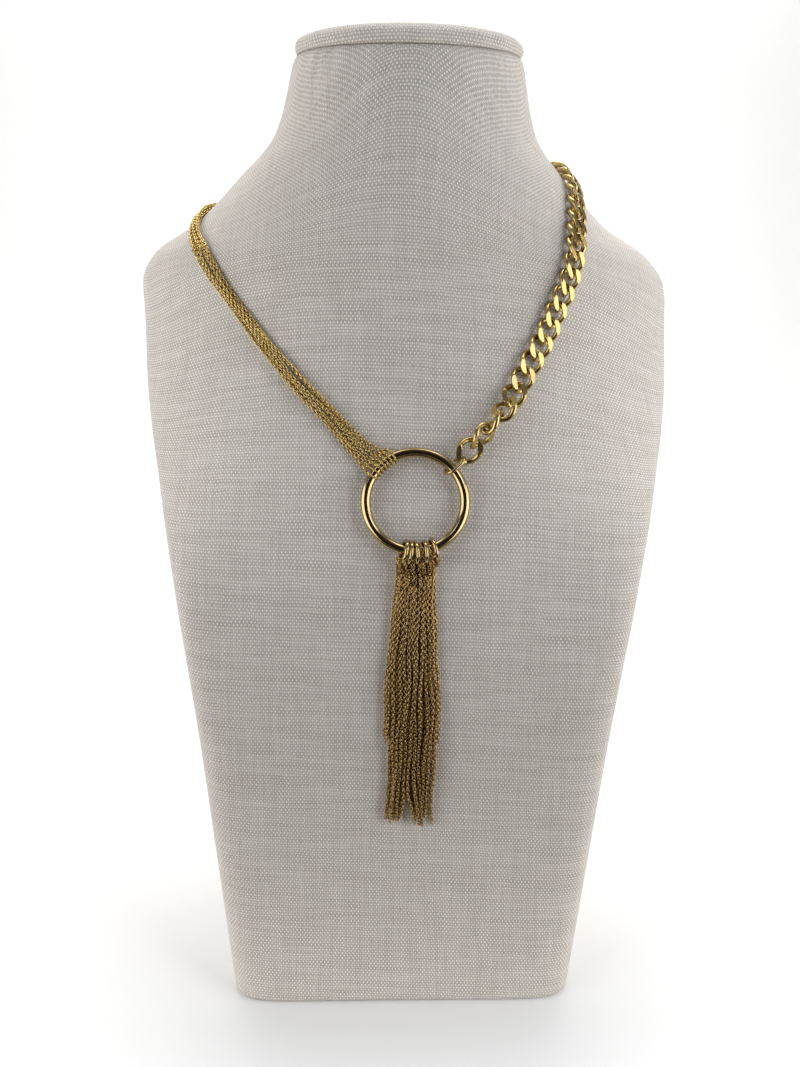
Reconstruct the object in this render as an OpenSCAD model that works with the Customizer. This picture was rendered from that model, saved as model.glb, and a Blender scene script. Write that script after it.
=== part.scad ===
// Link chain necklace on a linen neck bust, in millimetres.
// +Z is up, the front faces -Y, and the origin is the middle of the bust's flat base.
// The chains are laid on the bust by a formula for its surface, so they follow it when it is resized.

/* [Neck bust] */
// Height of the bust from its base to the seam under the cap
bust_h = 345; // [341:1:349]
// Width across the shoulders
bust_w = 210; // [207:1:213]
// Depth from the front edge of the base to the flat back
bust_d = 120; // [118:1:122]
// Thickness of the board that closes the base
board_t = 6; // [4:1:8]
// Height of the padded cap above the seam
cap_h = 9; // [7:0.5:11]

/* [Big ring] */
// Outer diameter of the big ring
ring_od = 38; // [37:0.5:39]
// Thickness of the big ring's wire
ring_wire = 3.5; // [3.3:0.05:3.55]

/* [Curb chain] */
// Outer length of a curb link
curb_l = 11.3; // [11.2:0.05:11.4]
// Outer width of a curb link
curb_w = 9.2; // [9:0.1:9.4]
// Thickness of a curb link's wire
curb_wire = 2; // [1.9:0.05:2.05]
// Thickness of the curb chain between its filed faces
curb_thick = 3; // [2.8:0.1:3.2]
// Twist of a curb link's end against its middle, in degrees
curb_twist = 42; // [41:1:43]

/* [Strands] */
// Number of fine strands in the left half
strands = 7; // [5:1:8]
// Thickness of the wire of a strand's end loop
loop_wire = 0.6; // [0.5:0.05:0.7]

/* [Jump rings and tassel] */
// Outer diameter of the five heavy jump rings
jump_od = 9; // [8.9:0.05:9.2]
// Thickness of the heavy jump rings' wire
jump_wire = 1.3; // [1.2:0.05:1.35]
// Outer length of the oval ring between the big ring and the curb chain
oval_l = 9.5; // [9.4:0.1:9.6]
// Thickness of the oval ring's wire
oval_wire = 1.1; // [1:0.05:1.1]
// Thickness of a lock of the tassel
lock_t = 2.6; // [2.2:0.1:3]

/* [Hidden] */
$fn = 48;
GAP = 0.15;
TOP_Z = 345;
SHOULDER_W = 210;
DEPTH = 120;

// Sections of the bust: height, half width, front, side and back as depths, three roundness powers
// for the front corner, the front edge and the back corner, and how far the middle lies to the right
BUST = [
    [0,    66,    -60,   -48, 60, 12,  2.0,  10,  0],
    [60,   71.5,  -57,   -46, 60, 12,  2.0,  10,  0],
    [120,  77,    -55,   -45, 60, 12,  2.0,  10,  0],
    [150,  81,    -52,   -42, 60, 11,  2.0,  10,  0.1],
    [170,  84.5,  -48,   -36, 60, 9,   1.8,  10,  0.3],
    [185,  88,    -43,   -28, 60, 6,   1.6,  10,  0.6],
    [200,  92.5,  -37,   -14, 60, 4,   1.4,  10,  0.9],
    [215,  97.5,  -30,   2,   60, 2.8, 1.25, 10,  1.1],
    [231,  102,   -25,   20,  60, 2.3, 1.15, 9,   1.2],
    [248,  104.4, -21,   34,  60, 2.1, 1.15, 8,   1.1],
    [258,  105,   -19,   38,  60, 2.0, 1.2,  7,   0.8],
    [266,  104.2, -18,   38,  60, 2.0, 1.25, 6,   0.2],
    [276,  97.5,  -18,   36,  60, 2.0, 1.4,  4.6, -0.9],
    [288,  79,    -19,   33,  60, 2.0, 1.6,  3.2, -1.5],
    [302,  63.9,  -19.5, 29,  60, 2.0, 1.8,  2.5, -1.4],
    [320,  47.8,  -19,   24,  60, 2.0, 2.0,  2.2, -0.8],
    [345,  40.6,  -17,   19,  60, 2.0, 2.0,  2.1, -0.2],
];
LAST = len(BUST) - 1;
// Heights of the loft's rings
LOFT_Z = [6, 30, 60, 90, 120, 140, 155, 168, 180, 191, 202, 213, 224, 236, 248, 257, 264, 270,
    275, 280, 285, 290, 295, 300, 306, 312, 320, 330, 345];
LOFT_SIDES = 56;

// Cap sections: height above the seam as a share of cap_h, and size against the neck's top
CAP = [
    [0.04, 0.97], [0.12, 0.99], [0.32, 1], [0.52, 0.985],
    [0.66, 0.94], [0.8, 0.8], [0.93, 0.53], [1, 0.2],
];

// Route of the curb chain over the bust, from its first link up and round to the back
CURB_ROUTE = [
    [17.6, -34, 209.8], [21.6, -32, 213.8], [26.6, -29, 219.4], [32.3, -26, 225.5],
    [37.8, -22, 233], [43.2, -17, 242], [48.4, -12, 250.5], [52.6, -8.5, 259.5],
    [56.6, -6.5, 268], [59.3, -5, 276.5], [60.5, -2, 284], [61.2, 4, 292],
    [60.7, 10, 298.5], [60.3, 18, 304], [59.3, 26, 307.5], [56, 36, 307],
    [47, 46, 306], [33, 54.5, 306], [17, 59, 306.5], [3, 60, 307], [-10, 60, 307],
];
curb_links = 30;
// Lay of the curb chain: link number, pitch to the next link, roll about the chain, lift off the cloth
CURB_LAY = [
    [1,  6.55, 8,   3.8],
    [2,  6.5,  46,  4.7],
    [3,  6.5,  88,  5.2],
    [4,  6.5,  130, 4.7],
    [5,  6.8,  166, 3.0],
    [6,  6.85, 180, 2.1],
    [9,  6.85, 180, 2.1],
    [10, 6.6,  182, 2.2],
    [12, 6.0,  187, 2.3],
    [14, 5.7,  188, 2.2],
    [20, 5.8,  180, 2.0],
    [21, 6.0,  180, 2.1],
    [22, 6.4,  180, 2.1],
    [23, 6.6,  180, 2.1],
    [27, 6.7,  180, 2.4],
    [30, 6.7,  180, 3.7],
];

// Route of the strand bundle from the big ring over the left shoulder to the back
STRAND_ROUTE = [
    [-12.7, -33, 210], [-19.7, -30, 215.8], [-28.9, -25, 225], [-39.6, -19.5, 235],
    [-49.6, -12, 245.3], [-57.1, -5.5, 253.8], [-63.3, 0, 262], [-69.9, 3.8, 271],
    [-74.6, 8, 278.2], [-78, 15, 283.2], [-78.6, 23, 286.6], [-76.4, 31.5, 288.8],
    [-71.5, 39.5, 290], [-63.5, 46, 292.5], [-53, 52, 296.5], [-40, 56.5, 301],
    [-27, 59, 304.6], [-12.8, 60, 306.8],
];
// Shape of the bundle along its length: share of the length, width, thickness, lift off the cloth
BUNDLE = [
    [0,    12.2, 1.3, 2.2],
    [0.04, 8.9, 1.8, 1.7],
    [0.1,  7.1, 2.2, 1.6],
    [0.2,  6.2, 2.4, 1.6],
    [0.3,  5.1, 2.6, 1.7],
    [0.37, 4.3, 2.8, 1.8],
    [0.46, 5.6, 2.6, 1.7],
    [0.6,  5.0, 2.8, 1.8],
    [0.93, 4.6, 2.8, 1.8],
    [0.97, 3.6, 2.2, 2.8],
    [1,    1.4, 1.2, 3.6],
];

// Big ring: centre, and how far its plane leans back with the bust's chest
RING_C = [2.2, -41.5, 197.55];
RING_LEAN = 23;
ring_r = (ring_od - ring_wire) / 2;
// Where the strands, the curb chain and the jump rings sit on the ring, in degrees from its right side
STRAND_ANGLES = [116, 149];
OVAL_ANGLE = 43;
// How far the oval ring leans from the big ring's plane back to the cloth
OVAL_LEAN = 4;
// Outer width of the oval ring
OVAL_W = 7;
// Jump rings: degrees from the ring's lowest point, then tilt and yaw in degrees
JUMPS = [[-12.9, 1.5, -13], [-7.2, -0.5, -13], [-0.2, 3.5, -11], [10.3, -5, -8], [20.7, -6, -8]];
// How far the jump rings' centres stand in front of the big ring's plane
jump_out = 0.95;
// Gap between a jump ring and the big ring, measured in the jump ring's own plane
JUMP_GAP = 0.25;
jump_r = (jump_od - jump_wire) / 2;
jump_in = jump_r - jump_wire / 2;
jump_drop = sqrt(pow(jump_in - ring_wire / 2 - JUMP_GAP, 2) - pow(jump_out, 2));
// Bar at the tassel's head that lies in the jump rings
bar_r = 0.7;
bar_path_r = ring_r + jump_drop + jump_in - bar_r - GAP;

// Locks of the tassel: sideways place at the head, at the middle and at the end, height of the end, width
LOCKS = [
    [-2.6, -5.6, -6.3, 113, 3.0],
    [-1.6, -4.2, -5.9, 82,  3.2],
    [0.2,  -1.8, -3.0, 80,  3.4],
    [2.0,  0.6,  0.6,  88,  3.4],
    [3.6,  2.8,  2.9,  81,  3.4],
    [5.2,  5.2,  5.6,  80,  3.4],
    [6.9,  7.6,  8.3,  82,  3.2],
    [8.6,  9.6,  10.2, 113, 3.0],
];
// Height along a lock and how far its middle stands off the cloth
LOCK_LIFT = [[80, 1.7], [150, 1.8], [163, 2.2], [170, 3.4], [176, 4.4]];
LOCK_TOP = 176.1;
// Places round the ring of the two necks that join the locks to the bar, between the jump rings
NECKS = [4.6, 15.5];
LOCK_MID = 146;

// Clasp at the back: centre, length, width and thickness, and the rings on its two sides
CLASP_C = [-1.75, 60, 306.9];
clasp_l = 12;
clasp_w = 6;
clasp_t = 2;
clasp_lift = 3.6;
small_r = 2.6;
small_wire = 1;

// Surface of the bust

// Rise of a column between a row and the next
function rise(r, c) = (BUST[r + 1][c] - BUST[r][c]) / (BUST[r + 1][0] - BUST[r][0]);
// Slope of a column at a row: the harmonic mean of the rises beside it, and flat at a turning point
function slope(r, c) =
    r == 0 ? rise(0, c)
    : r == LAST ? rise(LAST - 1, c)
    : let (a = rise(r - 1, c), b = rise(r, c),
           ha = BUST[r][0] - BUST[r - 1][0], hb = BUST[r + 1][0] - BUST[r][0])
      a * b <= 0 ? 0 : 3 * (ha + hb) / ((2 * hb + ha) / a + (hb + 2 * ha) / b);
// Row of the table that a height lies above
function row_of(z, r = 0) = r >= LAST - 1 || z < BUST[r + 1][0] ? r : row_of(z, r + 1);
// A column at a height, by a cubic through the rows
function column(z, c, r) =
    let (h = BUST[r + 1][0] - BUST[r][0], t = (z - BUST[r][0]) / h)
    (2 * t * t * t - 3 * t * t + 1) * BUST[r][c] + (t * t * t - 2 * t * t + t) * h * slope(r, c)
    + (3 * t * t - 2 * t * t * t) * BUST[r + 1][c] + (t * t * t - t * t) * h * slope(r + 1, c);
// Half width, front, side, back, the three powers and the middle at a height
function section(z) =
    let (k = min(max(z * TOP_Z / bust_h, 0), TOP_Z), r = row_of(k))
    [
        column(k, 1, r) * bust_w / SHOULDER_W,
        column(k, 2, r) * bust_d / DEPTH,
        column(k, 3, r) * bust_d / DEPTH,
        column(k, 4, r) * bust_d / DEPTH,
        column(k, 5, r), column(k, 6, r), column(k, 7, r),
        column(k, 8, r) * bust_w / SHOULDER_W
    ];
// Zero on the surface, below zero inside and above zero outside, for a place on a known section
function level(x, y, s) =
    let (u = abs(x - s[7]) / s[0])
    y < s[2] ? pow(u, s[4]) + pow((s[2] - y) / (s[2] - s[1]), s[5]) - 1
    : pow(u, s[6]) + pow((y - s[2]) / (s[3] - s[2]), 2) - 1;
STEP = 0.2;
// Direction in which the level rises fastest
function climb(p) =
    let (s = section(p[2]), up = section(p[2] + STEP), f = level(p[0], p[1], s))
    [
        (level(p[0] + STEP, p[1], s) - level(p[0] - STEP, p[1], s)) / (2 * STEP),
        (level(p[0], p[1] + STEP, s) - level(p[0], p[1] - STEP, s)) / (2 * STEP),
        (level(p[0], p[1], up) - f) / STEP
    ];
function unit(v) = v / norm(v);
// Outward direction of the surface near a point
function outward(p) = unit(climb(p));
// The point moved on to the surface
function settle(p, turns = 4) =
    turns == 0 ? p
    : let (g = climb(p), f = level(p[0], p[1], section(p[2])))
      settle(p - f * g / (g * g), turns - 1);
// A route's point for the nominal bust, moved with the bust's size
function fitted(p) = [p[0] * bust_w / SHOULDER_W, p[1] * bust_d / DEPTH, p[2] * bust_h / TOP_Z];

// Routes

// Smooth curve through four points, between the middle two
function blend4(a, b, c, d, t) =
    0.5 * (2 * b + (c - a) * t + (2 * a - 5 * b + 4 * c - d) * t * t
           + (3 * b - a - 3 * c + d) * t * t * t);
// Route with four steps between its points, every one on the surface
function laid(route) =
    let (n = len(route), q = [for (p = route) fitted(p)])
    [for (i = [0 : 4 * (n - 1)])
        let (k = min(floor(i / 4), n - 2), t = i / 4 - k)
        settle(blend4(q[max(k - 1, 0)], q[k], q[k + 1], q[min(k + 2, n - 1)], t))];
// Length of the route up to each of its points
function lengths(path) =
    let (last = len(path) - 1)
    [for (i = 0, s = 0; i <= last; s = s + (i < last ? norm(path[i + 1] - path[i]) : 0), i = i + 1) s];
// Point at a length along a path
function along(path, s_list, s) =
    [for (c = [0 : 2]) lookup(s, [for (i = [0 : len(path) - 1]) [s_list[i], path[i][c]]])];
// A column of a table against its first column
function curve_of(table, c, x) = lookup(x, [for (r = table) [r[0], r[c]]]);
// Swept closed body: rings are lists of points of the same count
function grid_faces(rings, sides) = concat(
    [[for (j = [0 : sides - 1]) j]],
    [for (i = [0 : rings - 2], j = [0 : sides - 1])
        let (a = i * sides + j, b = i * sides + (j + 1) % sides)
        each [[a, a + sides, b + sides], [a, b + sides, b]]],
    [[for (j = [sides - 1 : -1 : 0]) (rings - 1) * sides + j]]
);
module swept(rings, sides) {
    polyhedron([for (r = rings, p = r) p], grid_faces(len(rings), sides), convexity = 6);
}
// Places its children with X along the way, Z outwards, at a point
module placed(p, way, out) {
    x = unit(way);
    z = unit(out - (out * x) * x);
    y = cross(z, x);
    multmatrix([[x[0], y[0], z[0], p[0]], [x[1], y[1], z[1], p[1]], [x[2], y[2], z[2], p[2]], [0, 0, 0, 1]])
        children();
}

// Bust

// Outline of a section as points, front half then back half
function outline(z) =
    let (s = section(z), h = LOFT_SIDES / 2)
    concat(
        [for (i = [0 : h]) let (u = -cos(180 * i / h))
            [s[7] + s[0] * u, s[2] - (s[2] - s[1]) * pow(max(1 - pow(abs(u), s[4]), 0), 1 / s[5]), z]],
        [for (i = [1 : h - 1]) let (u = cos(180 * i / h))
            [s[7] + s[0] * u, s[2] + (s[3] - s[2]) * sqrt(max(1 - pow(abs(u), s[6]), 0)), z]]
    );

module bust_body() {
    heights = [for (z = LOFT_Z) z == LOFT_Z[0] ? board_t + 0.05 : z * bust_h / TOP_Z];
    color("gainsboro") swept([for (z = heights) outline(z)], LOFT_SIDES);
}

module base_board() {
    color("gainsboro")
        linear_extrude(board_t) polygon([for (p = outline(0)) [p[0], p[1]]]);
}

module neck_cap() {
    rim = outline(bust_h);
    top = section(bust_h);
    middle = [top[7], (top[1] + top[3]) / 2];
    color("gainsboro")
        swept([for (c = CAP)
            [for (p = rim) [
                middle[0] + (p[0] - middle[0]) * c[1],
                middle[1] + (p[1] - middle[1]) * c[1],
                bust_h + cap_h * c[0]
            ]]], LOFT_SIDES);
}

// Big ring and what hangs on it

// Places its children in the big ring's plane, Z towards the viewer and Y up the chest
module in_ring_plane() {
    translate(RING_C) rotate([90 - RING_LEAN, 0, 0]) children();
}
module torus(path_r, wire, turns = 48, sides = 32) {
    rotate_extrude($fn = turns) translate([path_r, 0]) circle(d = wire, $fn = sides);
}

module big_ring() {
    color("goldenrod") in_ring_plane() torus(ring_r, ring_wire);
}

// Oval ring: two half turns joined by straight wires, long way along X
module oval(length, width, wire) {
    end_r = (width - wire) / 2;
    straight = (length - width) / 2;
    for (s = [-1, 1])
        translate([s * straight, 0, 0]) rotate([0, 0, s > 0 ? -90 : 90])
            rotate_extrude(angle = 180) translate([end_r, 0]) circle(d = wire, $fn = 32);
    for (s = [-1, 1])
        translate([-straight, s * end_r, 0]) rotate([0, 90, 0])
            cylinder(d = wire, h = 2 * straight, $fn = 32);
}

// How far the oval ring's centre lies outside the middle of the big ring's wire that it holds
oval_reach = oval_l / 2 - oval_wire - ring_wire / 2 - 2 * GAP;
module oval_ring() {
    color("goldenrod") in_ring_plane() rotate([0, 0, OVAL_ANGLE])
        translate([ring_r, 0, 0]) rotate([0, OVAL_LEAN, 0]) translate([oval_reach, 0, 0.1])
            rotate([-62, 0, 0]) oval(oval_l, OVAL_W, oval_wire);
}

module jump_ring(k) {
    j = JUMPS[k - 1];
    color("goldenrod") in_ring_plane() rotate([0, 0, j[0] - 90]) translate([ring_r, 0, 0])
        rotate([0, 0, j[1]]) translate([jump_drop, 0, jump_out]) rotate([j[2], 0, 0])
            rotate([90, 0, 0]) torus(jump_r, jump_wire);
}

// Curb chain

curb_path = laid(CURB_ROUTE);
curb_s = lengths(curb_path);
CURB_START = 4.85;
// Length along the route at a link's middle
function link_s(i) = i <= 1 ? CURB_START : link_s(i - 1) + curve_of(CURB_LAY, 1, i - 1);
link_at = [for (i = [0 : curb_links + 1])
    let (s = i == 0 ? CURB_START - 6 : link_s(i), p = along(curb_path, curb_s, s))
    p + outward(p) * curve_of(CURB_LAY, 3, max(i, 1))];

// One link lying flat, long way along X: an oval twisted about X, its round wire filed flat on both faces
LINK_STEPS = 16;
LINK_SIDES = 6;
function link_line(f) =
    let (a = (curb_l - curb_wire) / 2, b = (curb_w - curb_wire) / 2,
         x = a * cos(f), y = b * sin(f), t = -curb_twist * x / a)
    [x, y * cos(t), y * sin(t)];
function filed(p) = [p[0], p[1], min(max(p[2], -curb_thick / 2), curb_thick / 2)];
module link_form() {
    rings = [for (i = [0 : LINK_STEPS - 1])
        let (f = 360 * i / LINK_STEPS, c = link_line(f), way = unit(link_line(f + 2) - link_line(f - 2)),
             side = unit(cross(way, [0, 0, 1])), top = cross(side, way))
        [for (j = [0 : LINK_SIDES - 1]) let (g = 360 * (j + 0.5) / LINK_SIDES)
            filed(c + curb_wire / 2 * (cos(g) * side + sin(g) * top))]];
    faces = [for (i = [0 : LINK_STEPS - 1], j = [0 : LINK_SIDES - 1])
        let (a = i * LINK_SIDES, b = (i + 1) % LINK_STEPS * LINK_SIDES, k = (j + 1) % LINK_SIDES)
        each [[a + j, b + k, b + j], [a + j, a + k, b + k]]];
    polyhedron([for (r = rings, p = r) p], faces, convexity = 6);
}
module curb_link(i) {
    way = link_at[i + 1] - link_at[i - 1];
    color("goldenrod") placed(link_at[i], way, outward(link_at[i]))
        rotate([curve_of(CURB_LAY, 2, i), 0, 0]) link_form();
}

// Strand bundle

bundle_path = laid(STRAND_ROUTE);
bundle_s = lengths(bundle_path);
bundle_len = bundle_s[len(bundle_s) - 1];
BUNDLE_STEP = 4;
BUNDLE_SIDES = 8;
// Corner-rounded section: the root keeps the bundle's edges thick
function squared(v) = sign(v) * sqrt(abs(v));
strand_mid = (STRAND_ANGLES[0] + STRAND_ANGLES[1]) / 2;
// Point of the big ring's plane at an angle and radius, z towards the viewer
function ring_point(a, r, z = 0) =
    RING_C + [r * cos(a), r * sin(a) * sin(RING_LEAN) - z * cos(RING_LEAN),
              r * sin(a) * cos(RING_LEAN) + z * sin(RING_LEAN)];
module strand_bundle() {
    count = ceil(bundle_len / BUNDLE_STEP);
    start = ring_point(strand_mid, ring_r + ring_wire / 2 + 0.15);
    finish = clasp_p + outward(clasp_p) * clasp_lift - [end_eye_x + eye_r, 0, 0];
    mids = concat([start],
        [for (i = [1 : count - 1])
            let (q = along(bundle_path, bundle_s, bundle_len * i / count))
            q + outward(q) * curve_of(BUNDLE, 3, i / count)],
        [finish]);
    rings = [for (i = [0 : count])
        let (m = mids[i],
             way = i == 0 ? unit(start - RING_C) : unit(mids[min(i + 1, count)] - mids[i - 1]),
             out0 = i == 0 ? [0, -cos(RING_LEAN), sin(RING_LEAN)] : outward(m),
             out = unit(out0 - (out0 * way) * way), side = cross(way, out),
             w = curve_of(BUNDLE, 1, i / count), t = curve_of(BUNDLE, 2, i / count))
        [for (j = [0 : BUNDLE_SIDES - 1]) let (g = 360 * (j + 0.5) / BUNDLE_SIDES)
            m + w / 2 * squared(sin(g)) * side + t / 2 * squared(cos(g)) * out]];
    color("goldenrod") {
        swept(rings, BUNDLE_SIDES);
        loop_r = ring_wire / 2 + GAP + loop_wire / 2 + 0.28;
        for (i = [0 : strands - 1]) {
            a = STRAND_ANGLES[0] + (STRAND_ANGLES[1] - STRAND_ANGLES[0]) * i / (strands - 1);
            in_ring_plane() rotate([0, 0, a]) translate([ring_r + 0.25, 0, 0]) rotate([90, 0, 0])
                torus(loop_r, loop_wire, 20, 6);
        }
        end_eye();
    }
}

// Tassel

// Middle line of a lock at a height, on the front of the bust
function lock_point(l, z) =
    let (x = z > LOCK_MID ? lookup(z, [[LOCK_MID, l[1]], [LOCK_TOP, l[0]]])
             : lookup(z, [[80, l[2]], [LOCK_MID, l[1]]]),
         p = settle([x, section(z)[1], z]))
    [x, p[1], z] + [0, -1, 0] * lookup(z, LOCK_LIFT);
LOCK_SIDES = 8;
LOCK_RINGS = 11;
module lock(l) {
    rings = [for (i = [0 : LOCK_RINGS])
        let (k = i / LOCK_RINGS, z = LOCK_TOP + (l[3] - LOCK_TOP) * k, c = lock_point(l, z),
             fat = i == 0 ? 0.5 : i == LOCK_RINGS ? 0.55 : 0.8 + 0.2 * k)
        [for (j = [0 : LOCK_SIDES - 1]) let (g = 360 * (j + 0.5) / LOCK_SIDES)
            c + [l[4] / 2 * fat * cos(g), -lock_t / 2 * fat * sin(g), 0]]];
    swept(rings, LOCK_SIDES);
}
module tassel() {
    color("darkgoldenrod") {
        for (l = LOCKS) lock(l);
        in_ring_plane() translate([0, 0, jump_out]) {
            rotate([0, 0, -105])
                rotate_extrude(angle = 39) translate([bar_path_r, 0]) circle(r = bar_r, $fn = 24);
            for (a = NECKS)
                rotate([0, 0, a - 90]) translate([bar_path_r, 0, 0]) rotate([0, 90, 0])
                    cylinder(r = 0.6, h = 4.6, $fn = 24);
        }
    }
}

// Clasp at the back

clasp_p = settle(fitted(CLASP_C));
// Places its children at the back, X towards the strands and Z away from the cloth
module at_back(shift) {
    placed(clasp_p + outward(clasp_p) * clasp_lift, [-1, 0, 0], outward(clasp_p))
        translate([shift, 0, 0]) children();
}
CLASP_EYE_R = 1.6;
CLASP_EYE_WALL = 1.1;
module clasp() {
    color("goldenrod") at_back(0) translate([0, 0, -clasp_t / 2]) linear_extrude(clasp_t) difference() {
        union() {
            translate([-(clasp_l - clasp_w) / 2, 0]) circle(d = clasp_w);
            translate([(clasp_l - clasp_w) / 2, 0]) circle(d = clasp_w * 0.96);
            translate([-(clasp_l - clasp_w) / 2, -clasp_w * 0.48])
                square([clasp_l - clasp_w, clasp_w * 0.96]);
            translate([-clasp_l / 2 - CLASP_EYE_R, 0]) circle(r = CLASP_EYE_R + CLASP_EYE_WALL);
        }
        translate([(clasp_l - clasp_w) / 2, 0]) circle(d = clasp_w * 0.96 - 2.6);
        translate([-1, -clasp_w * 0.2]) square([(clasp_l - clasp_w) / 2 + 1, clasp_w * 0.4]);
        translate([-clasp_l / 2 - CLASP_EYE_R, 0]) circle(r = CLASP_EYE_R);
    }
}
// Inner edge of the hook's wall, the middle of the ring in it, and the middle of the bundle's eye
hook_in = (clasp_l - clasp_w) / 2 + (clasp_w * 0.96 - 2.6) / 2;
hook_ring_x = hook_in - 3 * GAP - small_wire / 2 + small_r;
eye_r = 1.6;
eye_wire = 1;
end_eye_x = hook_ring_x + small_r - small_wire / 2 - GAP - eye_wire / 2 + eye_r;
// Middle of the ring that joins the clasp's eye and the last curb link
curb_ring_x = -clasp_l / 2 - 2 * CLASP_EYE_R - CLASP_EYE_WALL / 2 - 0.93;
module curb_end_ring() {
    color("goldenrod") at_back(curb_ring_x) rotate([90, 0, 0]) torus(small_r, small_wire);
}
module strand_end_ring() {
    color("goldenrod") at_back(hook_ring_x) rotate([90, 0, 0]) torus(small_r, small_wire);
}
// Eye at the end of the bundle that hangs in the ring beside the clasp
module end_eye() {
    at_back(end_eye_x) torus(eye_r, eye_wire, 20, 6);
}

bust_body();
base_board();
neck_cap();
big_ring();
oval_ring();
for (i = [1 : curb_links])
    curb_link(i);
strand_bundle();
for (i = [1 : len(JUMPS)])
    jump_ring(i);
tassel();
clasp();
curb_end_ring();
strand_end_ring();
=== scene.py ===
"""Link chain necklace on a linen neck bust: its looks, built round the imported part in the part's own frame.

Sizes in the classes are millimetres; meshes are written in metres. +Z is up and the front faces -Y.
"""

import logging
import math
from dataclasses import dataclass, field
from enum import Enum

import bmesh
import bpy
import numpy as np
from mathutils import Matrix, Vector


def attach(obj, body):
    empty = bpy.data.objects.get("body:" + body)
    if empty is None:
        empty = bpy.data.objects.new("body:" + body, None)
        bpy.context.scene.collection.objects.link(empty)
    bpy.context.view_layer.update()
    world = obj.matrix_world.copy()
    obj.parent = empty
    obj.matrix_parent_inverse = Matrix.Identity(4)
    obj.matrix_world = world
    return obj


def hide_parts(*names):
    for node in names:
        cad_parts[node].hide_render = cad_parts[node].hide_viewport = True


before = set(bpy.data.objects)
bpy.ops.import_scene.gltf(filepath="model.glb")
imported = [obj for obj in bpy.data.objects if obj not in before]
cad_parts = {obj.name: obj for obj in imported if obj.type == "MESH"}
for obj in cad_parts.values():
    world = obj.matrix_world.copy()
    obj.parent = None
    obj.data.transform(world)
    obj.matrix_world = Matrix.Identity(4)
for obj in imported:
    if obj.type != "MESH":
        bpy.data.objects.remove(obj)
log = logging.getLogger("necklace")
MM = 0.001
Array = np.ndarray


# Small tools

def linear(hex_colour: str) -> tuple[float, float, float, float]:
    """Turns an sRGB hex colour to linear: a straight line near black and a power of 2.4 above it.

    Args:
        hex_colour: colour such as "#c8a050".
    Returns:
        Red, green and blue, linear, and a full alpha.
    """
    raw = [int(hex_colour[i:i + 2], 16) / 255 for i in (1, 3, 5)]
    r, g, b = (v / 12.92 if v <= 0.04045 else ((v + 0.055) / 1.055) ** 2.4 for v in raw)
    return r, g, b, 1.0


def add_node(tree: bpy.types.NodeTree, kind: str, settings: dict | None = None,
             links: dict | None = None) -> bpy.types.Node:
    """Adds a node to a tree.

    Args:
        tree: tree that gets the node.
        kind: Blender's name of the node type.
        settings: attribute or input name to value.
        links: input name or number to the output socket that feeds it.
    Returns:
        The new node.
    """
    node = tree.nodes.new(kind)
    for name, value in (settings or {}).items():
        if isinstance(name, str) and hasattr(node, name):
            setattr(node, name, value)
        else:
            node.inputs[name].default_value = value
    for name, source in (links or {}).items():
        tree.links.new(source, node.inputs[name])
    return node


def unit(v: Array) -> Array:
    """Vectors of length one along the last axis."""
    return v / np.maximum(np.linalg.norm(v, axis=-1, keepdims=True), 1e-12)


def grid_quads(rows: int, cols: int, wrap_rows: bool = False, wrap_cols: bool = False) -> Array:
    """Quads of a grid of points numbered row by row.

    Args:
        rows: number of rows.
        cols: number of points in a row.
        wrap_rows: join the last row to the first.
        wrap_cols: join the last column to the first.
    Returns:
        An array of four point numbers a quad.
    """
    row_numbers = np.arange(rows if wrap_rows else rows - 1)
    col_numbers = np.arange(cols if wrap_cols else cols - 1)
    i, j = np.meshgrid(row_numbers, col_numbers, indexing="ij")
    i2, j2 = (i + 1) % rows, (j + 1) % cols
    return np.stack([i * cols + j, i * cols + j2, i2 * cols + j2, i2 * cols + j], -1).reshape(-1, 4)


def make_piece(name: str, points: Array, quads: Array, material: bpy.types.Material,
               uv: Array | None = None, sharp_deg: float | None = None) -> bpy.types.Object:
    """Puts a smooth mesh of quads in the scene as a piece that rides on the part.

    Args:
        name: plain name of the piece.
        points: points in millimetres, one row a point.
        quads: four point numbers a quad, seen anticlockwise from outside.
        material: finish of the piece.
        uv: a place on the cloth for each point, in millimetres.
        sharp_deg: edges between faces at more than this angle stay sharp.
    Returns:
        The new object.
    """
    mesh = bpy.data.meshes.new(name)
    mesh.vertices.add(len(points))
    mesh.vertices.foreach_set("co", (points * MM).astype(np.float32).ravel())
    mesh.loops.add(quads.size)
    mesh.loops.foreach_set("vertex_index", quads.astype(np.int32).ravel())
    mesh.polygons.add(len(quads))
    mesh.polygons.foreach_set("loop_start", np.arange(0, quads.size, 4, dtype=np.int32))
    mesh.polygons.foreach_set("use_smooth", np.full(len(quads), True))
    mesh.update(calc_edges=True)
    if uv is not None:
        layer = mesh.uv_layers.new(name="cloth")
        layer.uv.foreach_set("vector", uv[quads.ravel()].astype(np.float32).ravel())
    if sharp_deg is not None:
        mesh.set_sharp_from_angle(angle=math.radians(sharp_deg))
    mesh.validate()
    mesh.materials.append(material)
    piece = bpy.data.objects.new(name, mesh)
    bpy.context.scene.collection.objects.link(piece)
    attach(piece, "root")
    return piece


def merge_doubles(piece: bpy.types.Object) -> None:
    """Joins points that lie on each other, so that seams and poles are closed.

    Args:
        piece: object whose mesh is cleaned.
    """
    work = bmesh.new()
    work.from_mesh(piece.data)
    bmesh.ops.remove_doubles(work, verts=work.verts, dist=0.001 * MM)
    bmesh.ops.recalc_face_normals(work, faces=work.faces)
    work.to_mesh(piece.data)
    work.free()


# Finishes

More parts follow.
